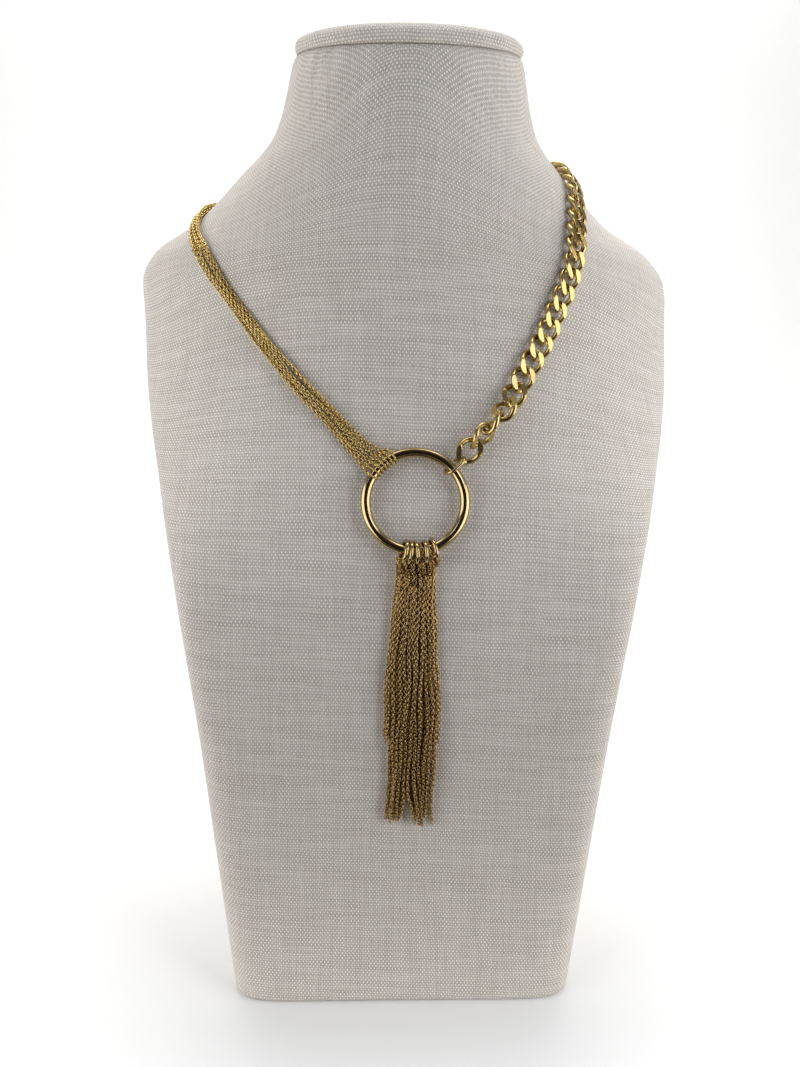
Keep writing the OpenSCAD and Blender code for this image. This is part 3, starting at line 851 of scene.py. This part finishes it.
@dataclass
class CurbChain:
    """Curb chain from the oval ring round the right side of the neck to the clasp."""

    form: BustForm
    gold: bpy.types.Material
    count: int = 30
    length: float = 11.3
    width: float = 9.2
    wire: float = 2.0
    thick: float = 3.0
    twist: float = 42.0
    # Length along the route to the first link's middle, and from the point before it
    start: float = 4.85
    lead: float = 6.0
    steps: int = 72
    sides: int = 24
    # Half the turn over which the wire's direction is taken, in radians
    turn: float = 0.035
    sharp_deg: float = 24.0
    route: tuple[tuple[float, float, float], ...] = (
        (17.6, -34, 209.8), (21.6, -32, 213.8), (26.6, -29, 219.4), (32.3, -26, 225.5), (37.8, -22, 233),
        (43.2, -17, 242), (48.4, -12, 250.5), (52.6, -8.5, 259.5), (56.6, -6.5, 268), (59.3, -5, 276.5),
        (60.5, -2, 284), (61.2, 4, 292), (60.7, 10, 298.5), (60.3, 18, 304), (59.3, 26, 307.5), (56, 36, 307),
        (47, 46, 306), (33, 54.5, 306), (17, 59, 306.5), (3, 60, 307), (-10, 60, 307))
    # Link number, pitch to the next link, roll about the chain, lift off the cloth
    lay: Array = field(default_factory=lambda: np.array([
        [1, 6.55, 8, 3.8], [2, 6.5, 46, 4.7], [3, 6.5, 88, 5.2], [4, 6.5, 130, 4.7], [5, 6.8, 166, 3.0],
        [6, 6.85, 180, 2.1], [9, 6.85, 180, 2.1], [10, 6.6, 182, 2.2], [12, 6.0, 187, 2.3],
        [14, 5.7, 188, 2.2], [20, 5.8, 180, 2.0], [21, 6.0, 180, 2.1], [22, 6.4, 180, 2.1],
        [23, 6.6, 180, 2.1], [27, 6.7, 180, 2.4], [30, 6.7, 180, 3.7]], float))

    def link_line(self, f: Array) -> Array:
        """Centre line of a link's wire: an oval twisted about its long axis in step with the place along it.

        Args:
            f: angles round the oval.
        Returns:
            Points.
        """
        a, b = (self.length - self.wire) / 2, (self.width - self.wire) / 2
        x, y = a * np.cos(f), b * np.sin(f)
        t = np.radians(-self.twist) * x / a
        return np.stack([x, y * np.cos(t), y * np.sin(t)], -1)

    def link(self) -> tuple[Array, Array]:
        """One link lying flat: circles along the twisted oval, cut off flat above and below.

        Returns:
            Points and quads.
        """
        f = 2 * np.pi * np.arange(self.steps) / self.steps
        line = self.link_line(f)
        way = unit(self.link_line(f + self.turn) - self.link_line(f - self.turn))
        side = unit(np.cross(way, [0.0, 0.0, 1.0]))
        top = np.cross(side, way)
        g = 2 * np.pi * (np.arange(self.sides) + 0.5) / self.sides
        points = line[:, None] + self.wire / 2 * (np.cos(g)[None, :, None] * side[:, None]
                                                  + np.sin(g)[None, :, None] * top[:, None])
        points[..., 2] = np.clip(points[..., 2], -self.thick / 2, self.thick / 2)
        return points.reshape(-1, 3), grid_quads(self.steps, self.sides, True, True)

    def places(self) -> tuple[Array, Array]:
        """Middles of the links with one more at each end, and the roll of each.

        Returns:
            Points and angles in degrees.
        """
        path = self.form.laid(self.route)
        number = np.arange(self.count + 2)
        pitch = np.interp(number, self.lay[:, 0], self.lay[:, 1])
        s = self.start + np.concatenate([[-self.lead, 0.0], np.cumsum(pitch[1:-1])])
        p = along(path, s)
        lift = np.interp(np.maximum(number, 1), self.lay[:, 0], self.lay[:, 3])
        return p + self.form.outward(p) * lift[:, None], np.interp(number, self.lay[:, 0], self.lay[:, 2])

    def build(self) -> list[bpy.types.Object]:
        """Builds every link, each turned by its own roll.

        Returns:
            The pieces.
        """
        at, roll = self.places()
        shape, quads = self.link()
        turns = rolled(frames(at[2:] - at[:-2], self.form.outward(at[1:-1])), roll[1:-1])
        made = []
        for i in range(self.count):
            points = shape @ turns[i].T + at[i + 1]
            piece = make_piece(f"link_curb_{i + 1}", points, quads, self.gold, sharp_deg=self.sharp_deg)
            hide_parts(f"curb_link_{i + 1}")
            made.append(piece)
        return made


@dataclass
class CableChain:
    """Fine cable chain: small oval links, each turned a quarter against the next."""

    length: float = 2.1
    width: float = 1.5
    wire: float = 0.46
    steps: int = 12
    sides: int = 5
    # How full the oval is at its ends and at its sides, and half the length over which its direction is taken
    end_power: float = 0.9
    side_power: float = 0.8
    look: float = 0.5
    # Roll of a chain's first link from lying flat, in degrees
    first_roll: float = 45.0

    def pitch(self) -> float:
        """Distance from a link's middle to the next one's when the chain is drawn out."""
        return self.length - 2 * self.wire

    def link(self) -> tuple[Array, Array]:
        """One link in the XY plane: a tube along an oval, with slightly straightened sides.

        Returns:
            Points and quads.
        """
        f = 2 * np.pi * np.arange(self.steps) / self.steps
        a, b = (self.length - self.wire) / 2, (self.width - self.wire) / 2
        line = np.stack([a * np.sign(np.cos(f)) * np.abs(np.cos(f)) ** self.end_power,
                         b * np.sign(np.sin(f)) * np.abs(np.sin(f)) ** self.side_power, 0 * f], -1)
        return tube(line, self.wire / 2, self.sides)

    def along_path(self, path: Array, out: Array, rng: np.random.Generator, roll: float,
                   loose: float) -> tuple[Array, Array]:
        """Links along a path, as one set of points and quads.

        Args:
            path: points of the chain's centre line.
            out: outward directions at those points.
            rng: source of the small differences between links.
            roll: degrees that the first link is rolled further; the next is a quarter turn on.
            loose: spread of the roll in degrees.
        Returns:
            Points and quads.
        """
        total = lengths(path)
        count = max(int(round(total[-1] / self.pitch())), 2)
        s = (np.arange(count) + 0.5) * total[-1] / count
        at, ahead, behind = (along(path, s + shift) for shift in (0.0, self.look, -self.look))
        outs = np.stack([np.interp(s, total, out[:, c]) for c in range(3)], -1)
        angle = self.first_roll + roll + 90 * (np.arange(count) % 2) + loose * rng.standard_normal(count)
        turns = rolled(frames(ahead - behind, outs), angle)
        shape, quads = self.link()
        points = np.einsum("nij,kj->nki", turns, shape) + at[:, None]
        quads = quads[None] + (np.arange(count) * len(shape))[:, None, None]
        return points.reshape(-1, 3), quads.reshape(-1, 4)


def joined(parts: list[tuple[Array, Array]]) -> tuple[Array, Array]:
    """Several sets of points and quads as one.

    Args:
        parts: the sets.
    Returns:
        Points and quads.
    """
    shifts = np.cumsum([0] + [len(p) for p, _ in parts[:-1]])
    return np.concatenate([p for p, _ in parts]), np.concatenate([q + s for (_, q), s in zip(parts, shifts)])


@dataclass
class StrandBundle:
    """Fine strands from the big ring over the left shoulder to the clasp, each looped round the ring."""

    form: BustForm
    rings: RingSet
    chain: CableChain
    loop_chain: CableChain
    gold: bpy.types.Material
    seed: int = 11
    strands: int = 7
    # Pieces of the route's curve between two of its points
    steps: int = 8
    # Places of the first and the last loop on the big ring, in degrees
    angles: tuple[float, float] = (116.0, 149.0)
    route: tuple[tuple[float, float, float], ...] = (
        (-12.7, -33, 210), (-19.7, -30, 215.8), (-28.9, -25, 225), (-39.6, -19.5, 235), (-49.6, -12, 245.3),
        (-57.1, -5.5, 253.8), (-63.3, 0, 262), (-69.9, 3.8, 271), (-74.6, 8, 278.2), (-78, 15, 283.2),
        (-78.6, 23, 286.6), (-76.4, 31.5, 288.8), (-71.5, 39.5, 290), (-63.5, 46, 292.5), (-53, 52, 296.5),
        (-40, 56.5, 301), (-27, 59, 304.6), (-12.8, 60, 306.8))
    # Share of the length, distance between the outermost strands' middles
    width: Array = field(default_factory=lambda: np.array([
        [0, 9.0], [0.03, 6.6], [0.08, 5.8], [0.125, 5.3], [0.18, 5.4], [0.225, 5.3], [0.27, 4.9], [0.32, 4.4],
        [0.37, 3.6], [0.41, 4.0], [0.45, 5.3], [0.5, 5.4], [0.56, 4.2], [0.66, 3.6], [0.9, 3.0], [0.97, 2.0],
        [1, 0.6]], float))
    # Share of the length, lift of all strands near the ring and near the clasp
    ends_lift: Array = field(default_factory=lambda: np.array([
        [0, 1.1], [0.05, 0.2], [0.9, 0], [0.97, 1.2], [1, 2.6]], float))
    # Share of the length after which a strand swings freely, and its long and short swing in half widths
    free_from: float = 0.12
    long_swing: float = 0.13
    short_swing: float = 0.08
    swing_limit: float = 1.05
    # Lift of a strand below its neighbours, how much higher it crosses them, and the spread of that
    low_lift: float = 0.75
    cross_lift: float = 1.25
    lift_spread: float = 0.1
    # End loops: half the open part in degrees, points, clearance in link widths, and how far askew in degrees
    loop_open: float = 32.0
    loop_steps: int = 24
    loop_space: float = 0.42
    loop_askew: float = 1.6
    # Step from a loop to its strand, and how near to that the strand's own line is left out
    join: float = 0.5
    clear: float = 3.0
    # Spread of the links' roll in the loops and in the strands, and of a strand's first link, in degrees
    loop_loose: float = 14.0
    loose: float = 12.0
    first_loose: float = 20.0

    def strand(self, k: int, base: Array, rng: np.random.Generator) -> tuple[Array, Array]:
        """Centre line of one strand: the route shifted across the bundle and lifted where it crosses others.

        The shift is the strand's place plus a long and a short sine, the lift a slower sine.

        Args:
            k: number of the strand, from zero.
            base: the bundle's route on the cloth.
            rng: source of the small differences between strands.
        Returns:
            Points and outward directions.
        """
        share = lengths(base) / lengths(base)[-1]
        out = self.form.outward(base)
        way = unit(np.gradient(base, axis=0))
        side = unit(np.cross(way, out))
        half = (self.strands - 1) / 2
        free = np.clip(share / self.free_from, 0, 1)
        swing = free * (self.long_swing * np.sin(share * (9 + 1.7 * k) + 2.1 * k)
                        + self.short_swing * np.sin(share * 31 + 1.3 * k))
        place = np.clip((k - half) / half + swing, -self.swing_limit, self.swing_limit)
        across = np.interp(share, self.width[:, 0], self.width[:, 1]) / 2 * place
        upper = 0.5 + 0.5 * np.sin(share * (7 + 0.9 * k) + np.pi * k)
        lift = self.low_lift + self.cross_lift * upper * free + self.lift_spread * rng.standard_normal()
        lift = lift + np.interp(share, self.ends_lift[:, 0], self.ends_lift[:, 1])
        p = self.form.settle(base + side * across[:, None])
        return p + self.form.outward(p) * lift[:, None], out

    def end_loop(self, at: float, askew: float) -> tuple[Array, Array]:
        """Loop of finer chain round the big ring's wire: a circle open towards the strand, a little askew.

        Args:
            at: place on the big ring, in radians.
            askew: how far it lies askew, in radians.
        Returns:
            Points and the directions away from the wire.
        """
        f = np.radians(np.linspace(360 - self.loop_open, self.loop_open, self.loop_steps))
        r = self.rings.ring_wire / 2 + self.loop_space * self.loop_chain.width
        turn = at + askew * np.sin(f)
        reach = self.rings.ring_r + r * np.cos(f)
        place = self.rings.plane.place
        loop = place(np.stack([reach * np.cos(turn), reach * np.sin(turn), r * np.sin(f)], -1))
        hub = place(np.array([self.rings.ring_r * math.cos(at), self.rings.ring_r * math.sin(at), 0.0]))
        return loop, unit(loop - hub)

    def build(self) -> list[bpy.types.Object]:
        """Builds the strands and their loops round the big ring as one piece.

        Returns:
            The piece.
        """
        rng = np.random.default_rng(self.seed)
        base = self.form.laid(self.route, self.steps)
        parts = []
        for k in range(self.strands):
            line, out = self.strand(self.strands - 1 - k, base, rng)
            at = math.radians(np.interp(k, [0, self.strands - 1], self.angles))
            askew = math.radians(rng.uniform(-self.loop_askew, self.loop_askew))
            loop, loop_out = self.end_loop(at, askew)
            parts.append(self.loop_chain.along_path(loop, loop_out, rng, 0.0, self.loop_loose))
            # Near the ring the strand's own line gives way to its loop
            first = loop[-1] + loop_out[-1] * self.join
            keep = np.linalg.norm(line - first, axis=1) > self.clear
            keep[len(keep) // 3:] = True
            line = np.concatenate([[first], line[keep]])
            out = np.concatenate([out[:1], out[keep]])
            roll = self.first_loose * rng.standard_normal()
            parts.append(self.chain.along_path(line, out, rng, roll, self.loose))
        points, quads = joined(parts)
        piece = make_piece("strands_fine", points, quads, self.gold)
        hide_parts("strand_bundle")
        return [piece]


class Layer(Enum):
    """Layer of the tassel that a chain hangs in, with its lift off the cloth in millimetres."""

    BACK = 0.8
    MIDDLE = 1.8
    FRONT = 2.8


@dataclass
class Tassel:
    """Fine chains drawn through the jump rings, so that each hangs down on both sides of its ring."""

    form: BustForm
    rings: RingSet
    chain: CableChain
    gold: bpy.types.Material
    # Places of the chains round each jump ring's lowest part, in degrees towards the viewer
    threaded: tuple[tuple[float, ...], ...] = (
        (-44, -16, 12), (-38, -10, 18), (-48, -24, -2, 18), (-48, -26, -4, 18), (-46, -20))
    # Arcs through the jump rings: half the arc in degrees, and clearance in link widths
    arc_deg: float = 104.0
    arc_space: float = 0.3
    # Degrees from the big ring's lowest point of the chains that lie over the ring itself
    over: tuple[float, ...] = (3.9, 6.3, 15.4)
    # Their arcs: first and last angle round the wire in degrees, and clearance in link widths
    over_from: float = -50.0
    over_to: float = 100.0
    over_space: float = 0.42
    # The straight stretch below that: its upper and lower end, and how far it ends in front of the ring
    over_top: float = 1.4
    over_end: float = 4.6
    over_front: float = 2.0
    # Height, left edge, right edge
    edges: Array = field(default_factory=lambda: np.array([
        [76, -8.8, 11.9], [84, -8.9, 11.4], [96, -8.6, 11.0], [110, -8.2, 11.2], [128, -7.8, 11.3],
        [146, -7.3, 10.4], [164, -5.1, 9.5], [172.6, -4.0, 9.4]], float))
    seed: int = 8
    # Height that the chains end at, that the short ones at the sides end at, and the spread of both
    end_z: float = 81.5
    short_z: float = 111.5
    end_spread: float = 1.5
    # Places across the tassel outside which a chain may be short, and the share of those that are
    short_left: float = 0.09
    short_right: float = 0.93
    short_share: float = 0.9
    # First drop below the ring, steps down a hanging end, and the drop over which it settles in the tassel
    first_drop: float = 0.7
    step: float = 0.9
    settled_over: float = 6.0
    # How far an end in the back layer is pushed behind the ring as it leaves it
    back_push: float = 1.1
    # Long and short sway of an end across the tassel, as a share of its width, and sway off the cloth
    long_sway: float = 0.03
    short_sway: float = 0.014
    lift_sway: float = 0.3
    # Gap in the lower end: place across, height that it opens from, drop to its full width, push and spread
    gap_at: float = 0.44
    gap_z: float = 91.0
    gap_drop: float = 10.0
    gap_push: float = 0.1
    gap_spread: float = 0.2
    # How far the tops may change order across the tassel, and the spread of the links' roll in degrees
    shuffle: float = 0.35
    loose: float = 14.0
    first_loose: float = 25.0
    # Slack ends that curl across the head: start, end, height, sag and lift off the cloth
    slacks: tuple[tuple[float, float, float, float, float], ...] = (
        (-4.6, 0.2, 172.6, 1.9, 5.0), (0.2, 2.4, 170.0, 1.4, 4.6), (3.4, 7.4, 172.6, 2.2, 4.6),
        (-4.4, -1.2, 169.4, 1.2, 4.3))
    # Small waves up and down in a slack end, and how far its middle bows to the viewer
    slack_wave: float = 0.35
    slack_bow: float = 0.4

    def through(self, k: int, place_deg: float) -> Array:
        """Arc of chain through jump ring k: a circle round the ring's wire at its lowest part, open below.

        Args:
            k: number of the jump ring, from zero.
            place_deg: place round the jump ring, in degrees from its lowest point towards the viewer.
        Returns:
            Points from the left of the ring to its right.
        """
        a = math.radians(place_deg)
        f = np.radians(np.linspace(self.arc_deg, -self.arc_deg, 13))
        r = self.rings.jump_wire / 2 + self.arc_space * self.chain.width
        out = (self.rings.jump_r - r * np.cos(f))[:, None] * np.array([math.cos(a), math.sin(a), 0.0])
        return self.rings.jump_place(k, out + (r * np.sin(f))[:, None] * np.array([0.0, 0.0, 1.0]))

    def over_ring(self, at: float) -> Array:
        """Chain over the big ring's wire: a part of a circle round it, then straight down in front.

        Args:
            at: degrees from the ring's lowest point.
        Returns:
            Points from behind the ring to below it.
        """
        r = self.rings.ring_wire / 2 + self.over_space * self.chain.width
        f = np.radians(np.linspace(self.over_from, self.over_to, 14))
        a = math.radians(at - 90)
        ring_r = self.rings.ring_r
        below = np.linspace(self.over_top, self.over_end, 4)
        reach = np.concatenate([ring_r - r * np.cos(f), ring_r + below])
        front = np.concatenate([r * np.sin(f), np.linspace(r - 0.1, self.over_front, 4)])
        return self.rings.plane.place(np.stack([reach * math.cos(a), reach * math.sin(a), front], -1))

    def hang(self, start: Array, u: float, layer: Layer, rng: np.random.Generator) -> Array:
        """Hanging end: from its start it comes to an even place between the tassel's edges and sways slowly.

        Its place across is u plus sines of the drop, pushed away from the gap in the lower end. It comes to
        that place from its start by a smooth step.

        Args:
            start: point that it hangs from.
            u: place across the tassel, from 0 at the left to 1 at the right.
            layer: layer that it hangs in.
            rng: source of the small differences between chains.
        Returns:
            Points from the top down.
        """
        outer = u < self.short_left or u > self.short_right
        end = self.short_z if outer and rng.uniform() < self.short_share else self.end_z
        end = end + self.end_spread * rng.standard_normal()
        z = np.arange(start[2] - self.first_drop, end, -self.step)
        left, right = (np.interp(z, self.edges[:, 0], self.edges[:, c]) for c in (1, 2))
        drop = (start[2] - z) / (start[2] - self.end_z)
        sway = self.long_sway * np.sin(drop * rng.uniform(4, 9) + rng.uniform(0, 6))
        sway = sway + self.short_sway * np.sin(drop * 23 + 9 * u)
        gap = self.gap_push * np.clip((self.gap_z - z) / self.gap_drop, 0, 1) * np.sign(u - self.gap_at)
        gap = gap * np.exp(-((u - self.gap_at) / self.gap_spread) ** 2)
        x = left + (right - left) * np.clip(u + sway + gap, 0.0, 1.0)
        cloth = self.form.settle(np.stack([x, self.form.section(z)[..., 1], z], -1))[:, 1]
        lift = layer.value + self.lift_sway * np.sin(drop * rng.uniform(6, 14) + rng.uniform(0, 6))
        blend = np.clip((start[2] - z) / self.settled_over, 0, 1)
        blend = blend * blend * (3 - 2 * blend)
        push = self.back_push if layer is Layer.BACK else 0.0
        y = (1 - blend) * (start[1] + push * blend) + blend * (cloth - lift)
        inward = np.clip(2 * blend, 0, 1)
        return np.stack([start[0] * (1 - inward) + x * inward, y, z], -1)

    def slack(self, x0: float, x1: float, z: float, sag: float, lift: float) -> Array:
        """Slack end across the tassel's head: a half sine below a line, with five short half sines on it.

        Args:
            x0: where it starts.
            x1: where it ends.
            z: height of the line.
            sag: how far it hangs below the line.
            lift: how far it stands off the cloth.
        Returns:
            Points from its start to its end.
        """
        t = np.linspace(0, 1, 24)
        z = z - sag * np.sin(np.pi * t) + self.slack_wave * np.sin(5 * np.pi * t)
        cloth = self.form.section(z)[..., 1]
        return np.stack([x0 + (x1 - x0) * t, cloth - lift - self.slack_bow * np.sin(np.pi * t), z], -1)

    def build(self) -> list[bpy.types.Object]:
        """Builds the chains through the rings with their ends, those over the big ring and the slack ends.

        Returns:
            The pieces, two of about the same size.
        """
        rng = np.random.default_rng(self.seed)
        arcs = [self.through(k, place) for k, places in enumerate(self.threaded) for place in places]
        tops = [end for arc in arcs for end in (arc[0], arc[-1])]
        overs = [self.over_ring(at) for at in self.over]
        tops += [arc[-1] for arc in overs]
        order = np.argsort(np.argsort([top[0] + self.shuffle * rng.standard_normal() for top in tops]))
        shares = (order + 0.5) / len(tops)
        layers = [tuple(Layer)[n % len(Layer)] for n in order]
        ends = [self.hang(top, u, layer, rng) for top, u, layer in zip(tops, shares, layers)]
        lines = [np.concatenate([ends[2 * i][::-1], arc, ends[2 * i + 1]]) for i, arc in enumerate(arcs)]
        lines += [np.concatenate([arc, end]) for arc, end in zip(overs, ends[2 * len(arcs):])]
        lines += [self.slack(*place) for place in self.slacks]
        parts = []
        for line in lines:
            outs = np.tile([0.0, -1.0, 0.0], (len(line), 1))
            roll = self.first_loose * rng.standard_normal()
            parts.append(self.chain.along_path(line, outs, rng, roll, self.loose))
        # Shared out over two pieces, so that neither has too many faces
        grown = np.cumsum([len(points) for points, _ in parts])
        half = int(np.searchsorted(grown, grown[-1] / 2)) + 1
        made = []
        for name, group in (("tassel_left", parts[:half]), ("tassel_right", parts[half:])):
            points, quads = joined(group)
            piece = make_piece(name, points, quads, self.gold)
            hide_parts("tassel")
            made.append(piece)
        return made


@dataclass
class Clasp:
    """The clasp and its two small rings, which keep their CAD nodes."""

    gold: bpy.types.Material
    nodes: tuple[str, ...] = ("clasp", "curb_end_ring", "strand_end_ring")
    sharp_deg: float = 30.0

    def build(self) -> list[bpy.types.Object]:
        """Dresses the nodes in the plate.

        Returns:
            The nodes.
        """
        made = []
        for name in self.nodes:
            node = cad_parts[name]
            node.data.materials.clear()
            node.data.materials.append(self.gold)
            node.data.set_sharp_from_angle(angle=math.radians(self.sharp_deg))
            made.append(node)
        return made


# Studio

def matt(name: str, colour: str, roughness: float) -> bpy.types.Material:
    """Builds a plain matt surface of one colour.

    Args:
        name: what it is made of.
        colour: sRGB hex colour.
        roughness: from 0 for a mirror to 1.
    Returns:
        The material.
    """
    made = bpy.data.materials.new(name)
    made.use_nodes = True
    shader = made.node_tree.nodes["Principled BSDF"]
    shader.inputs["Base Color"].default_value = linear(colour)
    shader.inputs["Roughness"].default_value = roughness
    return made


@dataclass
class Studio:
    """Pale floor, soft lights, two dark cards out of view for the metal to mirror, and the camera."""

    # Floor: front edge, half width, where the curve to the wall starts, its radius, wall height, gap below
    floor_front: float = -2500.0
    floor_side: float = 2600.0
    sweep_y: float = 900.0
    sweep_r: float = 500.0
    wall_h: float = 2600.0
    floor_gap: float = 0.2
    room_colour: str = "#fffefb"
    room_strength: float = 0.2
    camera_at: tuple[float, float, float] = (-13.4, -374.0, 294.0)
    pitch: float = 18.0
    yaw: float = 1.8
    roll: float = 0.8
    focal_px: float = 1000.0
    long_side_px: float = 1067.0
    sensor_mm: float = 36.0

    def board(self, name: str, points: Array, quads: Array, material: bpy.types.Material) -> bpy.types.Object:
        """Thin smooth board of the studio.

        Args:
            name: plain name.
            points: points in millimetres, one row a point.
            quads: four point numbers a quad.
            material: its finish.
        Returns:
            The board.
        """
        mesh = bpy.data.meshes.new(name)
        mesh.from_pydata((points * MM).tolist(), [], quads.tolist())
        mesh.polygons.foreach_set("use_smooth", np.full(len(mesh.polygons), True))
        mesh.materials.append(material)
        board = bpy.data.objects.new(name, mesh)
        bpy.context.scene.collection.objects.link(board)
        return board

    def floor(self) -> bpy.types.Object:
        """Floor that curves up behind into a wall: flat, quarter circle and wall, drawn out sideways.

        Returns:
            The floor.
        """
        a = np.radians(np.linspace(0, 90, 24))
        y = np.concatenate([[self.floor_front], self.sweep_y + self.sweep_r * np.sin(a),
                            [self.sweep_y + self.sweep_r]])
        z = np.concatenate([[0.0], self.sweep_r - self.sweep_r * np.cos(a), [self.wall_h]]) - self.floor_gap
        x = np.array([-self.floor_side, self.floor_side])
        points = np.stack([np.tile(x, len(y)), np.repeat(y, 2), np.repeat(z, 2)], -1)
        paint = matt("matt white studio sweep", "#fafaf9", 0.8)
        return self.board("floor", points, grid_quads(len(y), 2), paint)

    def light(self, name: str, at: tuple[float, float, float], to: tuple[float, float, float],
              sides: tuple[float, float], watts: float, colour: str = "#ffffff") -> bpy.types.Object:
        """Soft light with a flat face.

        Args:
            name: plain name.
            at: place in millimetres.
            to: point that it faces.
            sides: width and height in millimetres.
            watts: power.
            colour: sRGB hex colour.
        Returns:
            The light.
        """
        data = bpy.data.lights.new(name, "AREA")
        data.shape, data.energy = "RECTANGLE", watts
        data.size, data.size_y = sides[0] * MM, sides[1] * MM
        data.color = linear(colour)[:3]
        lamp = bpy.data.objects.new(name, data)
        lamp.location = Vector(at) * MM
        lamp.rotation_euler = (Vector(to) - Vector(at)).to_track_quat("-Z", "Y").to_euler()
        bpy.context.scene.collection.objects.link(lamp)
        return lamp

    def card(self, name: str, at: tuple[float, float, float], width: float, height: float,
             tilt: float, colour: str) -> bpy.types.Object:
        """Flat card out of view that the metal mirrors.

        Args:
            name: plain name.
            at: middle in millimetres.
            width: side along X.
            height: other side.
            tilt: lean back from upright in degrees.
            colour: sRGB hex colour.
        Returns:
            The card.
        """
        corners = np.array([[-1, 0, -1], [1, 0, -1], [1, 0, 1], [-1, 0, 1]], float)
        corners = (corners * [width / 2, 1, height / 2]) @ spin(0, tilt).T + np.array(at)
        return self.board(name, corners, np.array([[0, 1, 2, 3]]), matt(f"{name} paper", colour, 0.9))

    def camera(self) -> bpy.types.Object:
        """Camera as fitted to the photo: it looks down at the bust from a little left of its middle.

        Returns:
            The camera.
        """
        data = bpy.data.cameras.new("camera")
        data.sensor_width = self.sensor_mm
        data.lens = self.sensor_mm * self.focal_px / self.long_side_px
        data.clip_start, data.clip_end = 0.01, 50.0
        p, w, r = (math.radians(v) for v in (self.pitch, self.yaw, self.roll))
        fwd = Vector((math.sin(w) * math.cos(p), math.cos(w) * math.cos(p), -math.sin(p)))
        right = Vector((math.cos(w), -math.sin(w), 0.0))
        up = right.cross(fwd)
        right, up = math.cos(r) * right + math.sin(r) * up, -math.sin(r) * right + math.cos(r) * up
        camera = bpy.data.objects.new("camera", data)
        turn = Matrix((right, up, -fwd)).transposed().to_4x4()
        camera.matrix_world = Matrix.Translation(Vector(self.camera_at) * MM) @ turn
        bpy.context.scene.collection.objects.link(camera)
        bpy.context.scene.camera = camera
        return camera

    def build(self) -> None:
        """Builds the room's light, the floor, the lights, the cards and the camera."""
        world = bpy.data.worlds.new("soft room")
        bpy.context.scene.world = world
        world.use_nodes = True
        world.node_tree.nodes["Background"].inputs["Color"].default_value = linear(self.room_colour)
        world.node_tree.nodes["Background"].inputs["Strength"].default_value = self.room_strength
        bpy.context.scene.view_settings.view_transform = "Standard"
        self.floor()
        # Wide boxes at both sides and a fainter one above the right give the gold its even middle tones, one
        # above and behind lights the top, and one over the sweep whitens it
        self.light("left_box_light", (-450, -310, 240), (0, -40, 150), (900, 520), 3.1)
        self.light("right_box_light", (450, -310, 240), (0, -40, 150), (900, 430), 2.9)
        self.light("right_soft_light", (430, -260, 560), (0, -40, 230), (700, 260), 0.45)
        self.light("top_back_light", (0, 300, 1150), (0, 0, 250), (900, 900), 1.6)
        self.light("wall_light", (0, 500, 1500), (0, 1400, 600), (1200, 1200), 21.0)
        # Two small lamps that hardly light the cloth give the links their sharp glints
        self.light("left_glint_light", (-260, -380, 640), (0, -40, 180), (150, 150), 0.36, "#cddfff")
        self.light("right_glint_light", (330, -360, 560), (0, -40, 180), (150, 150), 0.36, "#cddfff")
        self.card("dark_card", (-10, -445, 370), 760, 860, -15, "#180a05")
        self.card("dark_apron", (0, -290, 1), 1100, 330, -90, "#2c2420")
        self.camera()


def main() -> None:
    """Builds the object and the studio."""
    logging.basicConfig(level=logging.INFO, format="%(name)s: %(message)s")
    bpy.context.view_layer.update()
    form = BustForm()
    # Polished plate: bright in the lights, brown where it mirrors the dark room
    polished = GoldPlate("polished gold plate", "#bba577", 0.13).material()
    # Curb links: the same plate, a little softer where the links are filed flat
    filed = GoldPlate("gold plate, filed links", "#c0a86e", 0.2).material()
    # The strands' fine drawn wire: the same plate, paler to make up for the shade between its small links
    fine = GoldPlate("gold plated fine wire", "#d4b976", 0.13).material()
    # The tassel's chain: the same wire, browner and darker as painted shade, since little light reaches it
    brown = GoldPlate("gold plated fine wire, darkened as painted shade", "#bb9d69", 0.13).material()
    rings = RingSet(RingPlane(), polished)
    cable = CableChain()
    builders = [
        LinenBust(form, Linen("natural linen, plain weave")),
        rings,
        CurbChain(form, filed),
        StrandBundle(form, rings, cable, CableChain(1.45, 1.05, 0.36), fine),
        Tassel(form, rings, cable, brown),
        Clasp(polished),
    ]
    for builder in builders:
        for piece in builder.build():
            log.info("%s: %d faces", piece.name, len(piece.data.polygons))
    Studio().build()


if __name__ == "__main__":
    main()
